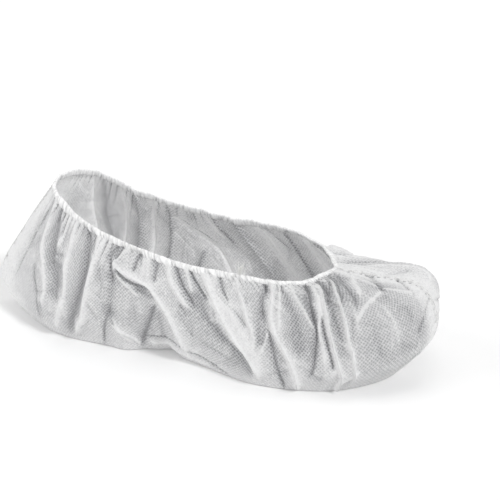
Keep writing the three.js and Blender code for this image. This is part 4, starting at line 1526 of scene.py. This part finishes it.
@dataclass
class Studio:
    """The pale floor, the soft lights and the camera."""

    eye: Triple = (312.62, -776.08, 434.38)  # where the camera stands
    azimuth: float = 20  # degrees from a look along +Y, round towards the toe
    elevation: float = 24  # degrees that it looks down
    lens: float = 100
    sensor: float = 36
    clip: Pair = (0.01, 20)  # nearest and farthest that the camera sees, in metres
    sky: float = 0.56  # strength of the light from all round
    floor_reach: float = 4000
    floor_drop: float = 0.1  # how far it lies below the sole
    lamps: tuple[Lamp, ...] = (
        Lamp("key", (64, -36, 68), 12, 1.45),
        Lamp("top", (-10, 35, 90), 50, 0.6),
        Lamp("fill", (-90, -34, 28), 50, 1.2),
    )

    def add_floor(self) -> None:
        """Makes the floor and keeps it out of the part."""
        reach = np.array((-self.floor_reach, self.floor_reach))
        x, y = np.meshgrid(reach, reach)
        corners = np.stack([x, y, np.full(x.shape, -self.floor_drop)], axis=-1)
        floor = make_mesh("floor", corners[None], corners[None, ..., :2], Form.SHEET)
        floor.data.materials.append(StudioPaper().make())

    def add_light(self) -> None:
        """Makes the pale surroundings and the lamps, aimed at the cover."""
        world = bpy.data.worlds.new("studio")
        world.use_nodes = True
        world.node_tree.nodes.clear()
        node = partial(add_node, world.node_tree)
        glow = node("Background", {"Color": linear("#FFFFFF"), "Strength": self.sky})
        node("OutputWorld", {"Surface": glow})
        bpy.context.scene.world = world
        for lamp in self.lamps:
            sun = bpy.data.lights.new(lamp.name, "SUN")
            sun.angle = np.radians(lamp.spread)
            sun.energy = lamp.power
            self.aim(bpy.data.objects.new(lamp.name, sun), -Vector(lamp.source))

    def add_camera(self) -> None:
        """Makes the camera, turned by its azimuth and elevation."""
        turn, tilt = np.radians(self.azimuth), np.radians(self.elevation)
        back = Vector((np.sin(turn) * np.cos(tilt), -np.cos(turn) * np.cos(tilt), np.sin(tilt)))
        camera = bpy.data.cameras.new("camera")
        camera.lens = self.lens
        camera.sensor_width = self.sensor
        camera.clip_start, camera.clip_end = self.clip
        eye = bpy.data.objects.new("camera", camera)
        eye.location = Vector(self.eye) * MM
        self.aim(eye, -back)
        bpy.context.scene.camera = eye

    def aim(self, thing: bpy.types.Object, way: Vector) -> None:
        """Turns a lamp or the camera to look along a way, and links it to the scene.

        Args:
            thing: the lamp's or camera's object.
            way: the direction.
        """
        thing.rotation_mode = "QUATERNION"
        thing.rotation_quaternion = way.to_track_quat("-Z", "Y")
        bpy.context.scene.collection.objects.link(thing)

    def build(self) -> None:
        """Makes the floor, the light and the camera, with colours shown as they are."""
        bpy.context.scene.view_settings.view_transform = "Standard"
        self.add_floor()
        self.add_light()
        self.add_camera()


def report(pieces: Sequence[bpy.types.Object]) -> None:
    """Logs each piece with its numbers of vertices and faces.

    Args:
        pieces: the objects.
    """
    for piece in pieces:
        mesh = piece.data
        LOG.info("%s: %d vertices, %d faces", piece.name, len(mesh.vertices), len(mesh.polygons))


def write_sizes() -> None:
    """Brings the view layer up to date."""
    bpy.context.view_layer.update()


def main() -> None:
    """Builds the studio and the cover, piece by piece."""
    logging.basicConfig(level=logging.INFO, format="%(name)s: %(message)s")
    Studio().build()
    cloth, gathered, yarn = Spunbond().make(), GatheredCloth().make(), SewingThread().make()
    rolled = GatheredCloth("seam allowance of spunbond", crest="#DEDEDE", crease="#B0B0B1").make()
    outer = Panel(Side.OUTER, OUTER_SECTIONS, OUTER_FOLDS, "outer_panel", seed=3, bulges=WAIST_BULGES)
    inner = Panel(
        Side.INNER,
        INNER_SECTIONS,
        INNER_FOLDS,
        "inner_panel",
        seed=8,
        # Weaker painted shade on this panel, and fainter stitch dents with their painted shade.
        hollow_shading=HollowShade(strength=0.6),
        stitches=NeedleMarks(seen=0.3),
    )
    sheets = []
    for panel in (outer, inner):
        sheet = panel.build()
        panel.dress(sheet, cloth)
        sheets.append(sheet)
    hem = ElasticHem((outer, inner))
    hem.lay_out()
    roll, hem_thread = hem.build_roll(), hem.build_thread()
    hem.dress(roll, hem_thread, gathered, yarn)
    seam = CentreSeam(outer)
    seam.lay_out()
    allowance, seam_thread = seam.build_allowance(), seam.build_thread()
    seam.dress(allowance, seam_thread, rolled, yarn)
    tail = ThreadTail(hem)
    tuft = tail.build()
    tail.dress(tuft, yarn)
    trimmings = [roll, hem_thread, allowance, seam_thread, tuft]
    report([*sheets, *trimmings])
    write_sizes()


if __name__ == "__main__":
    main()
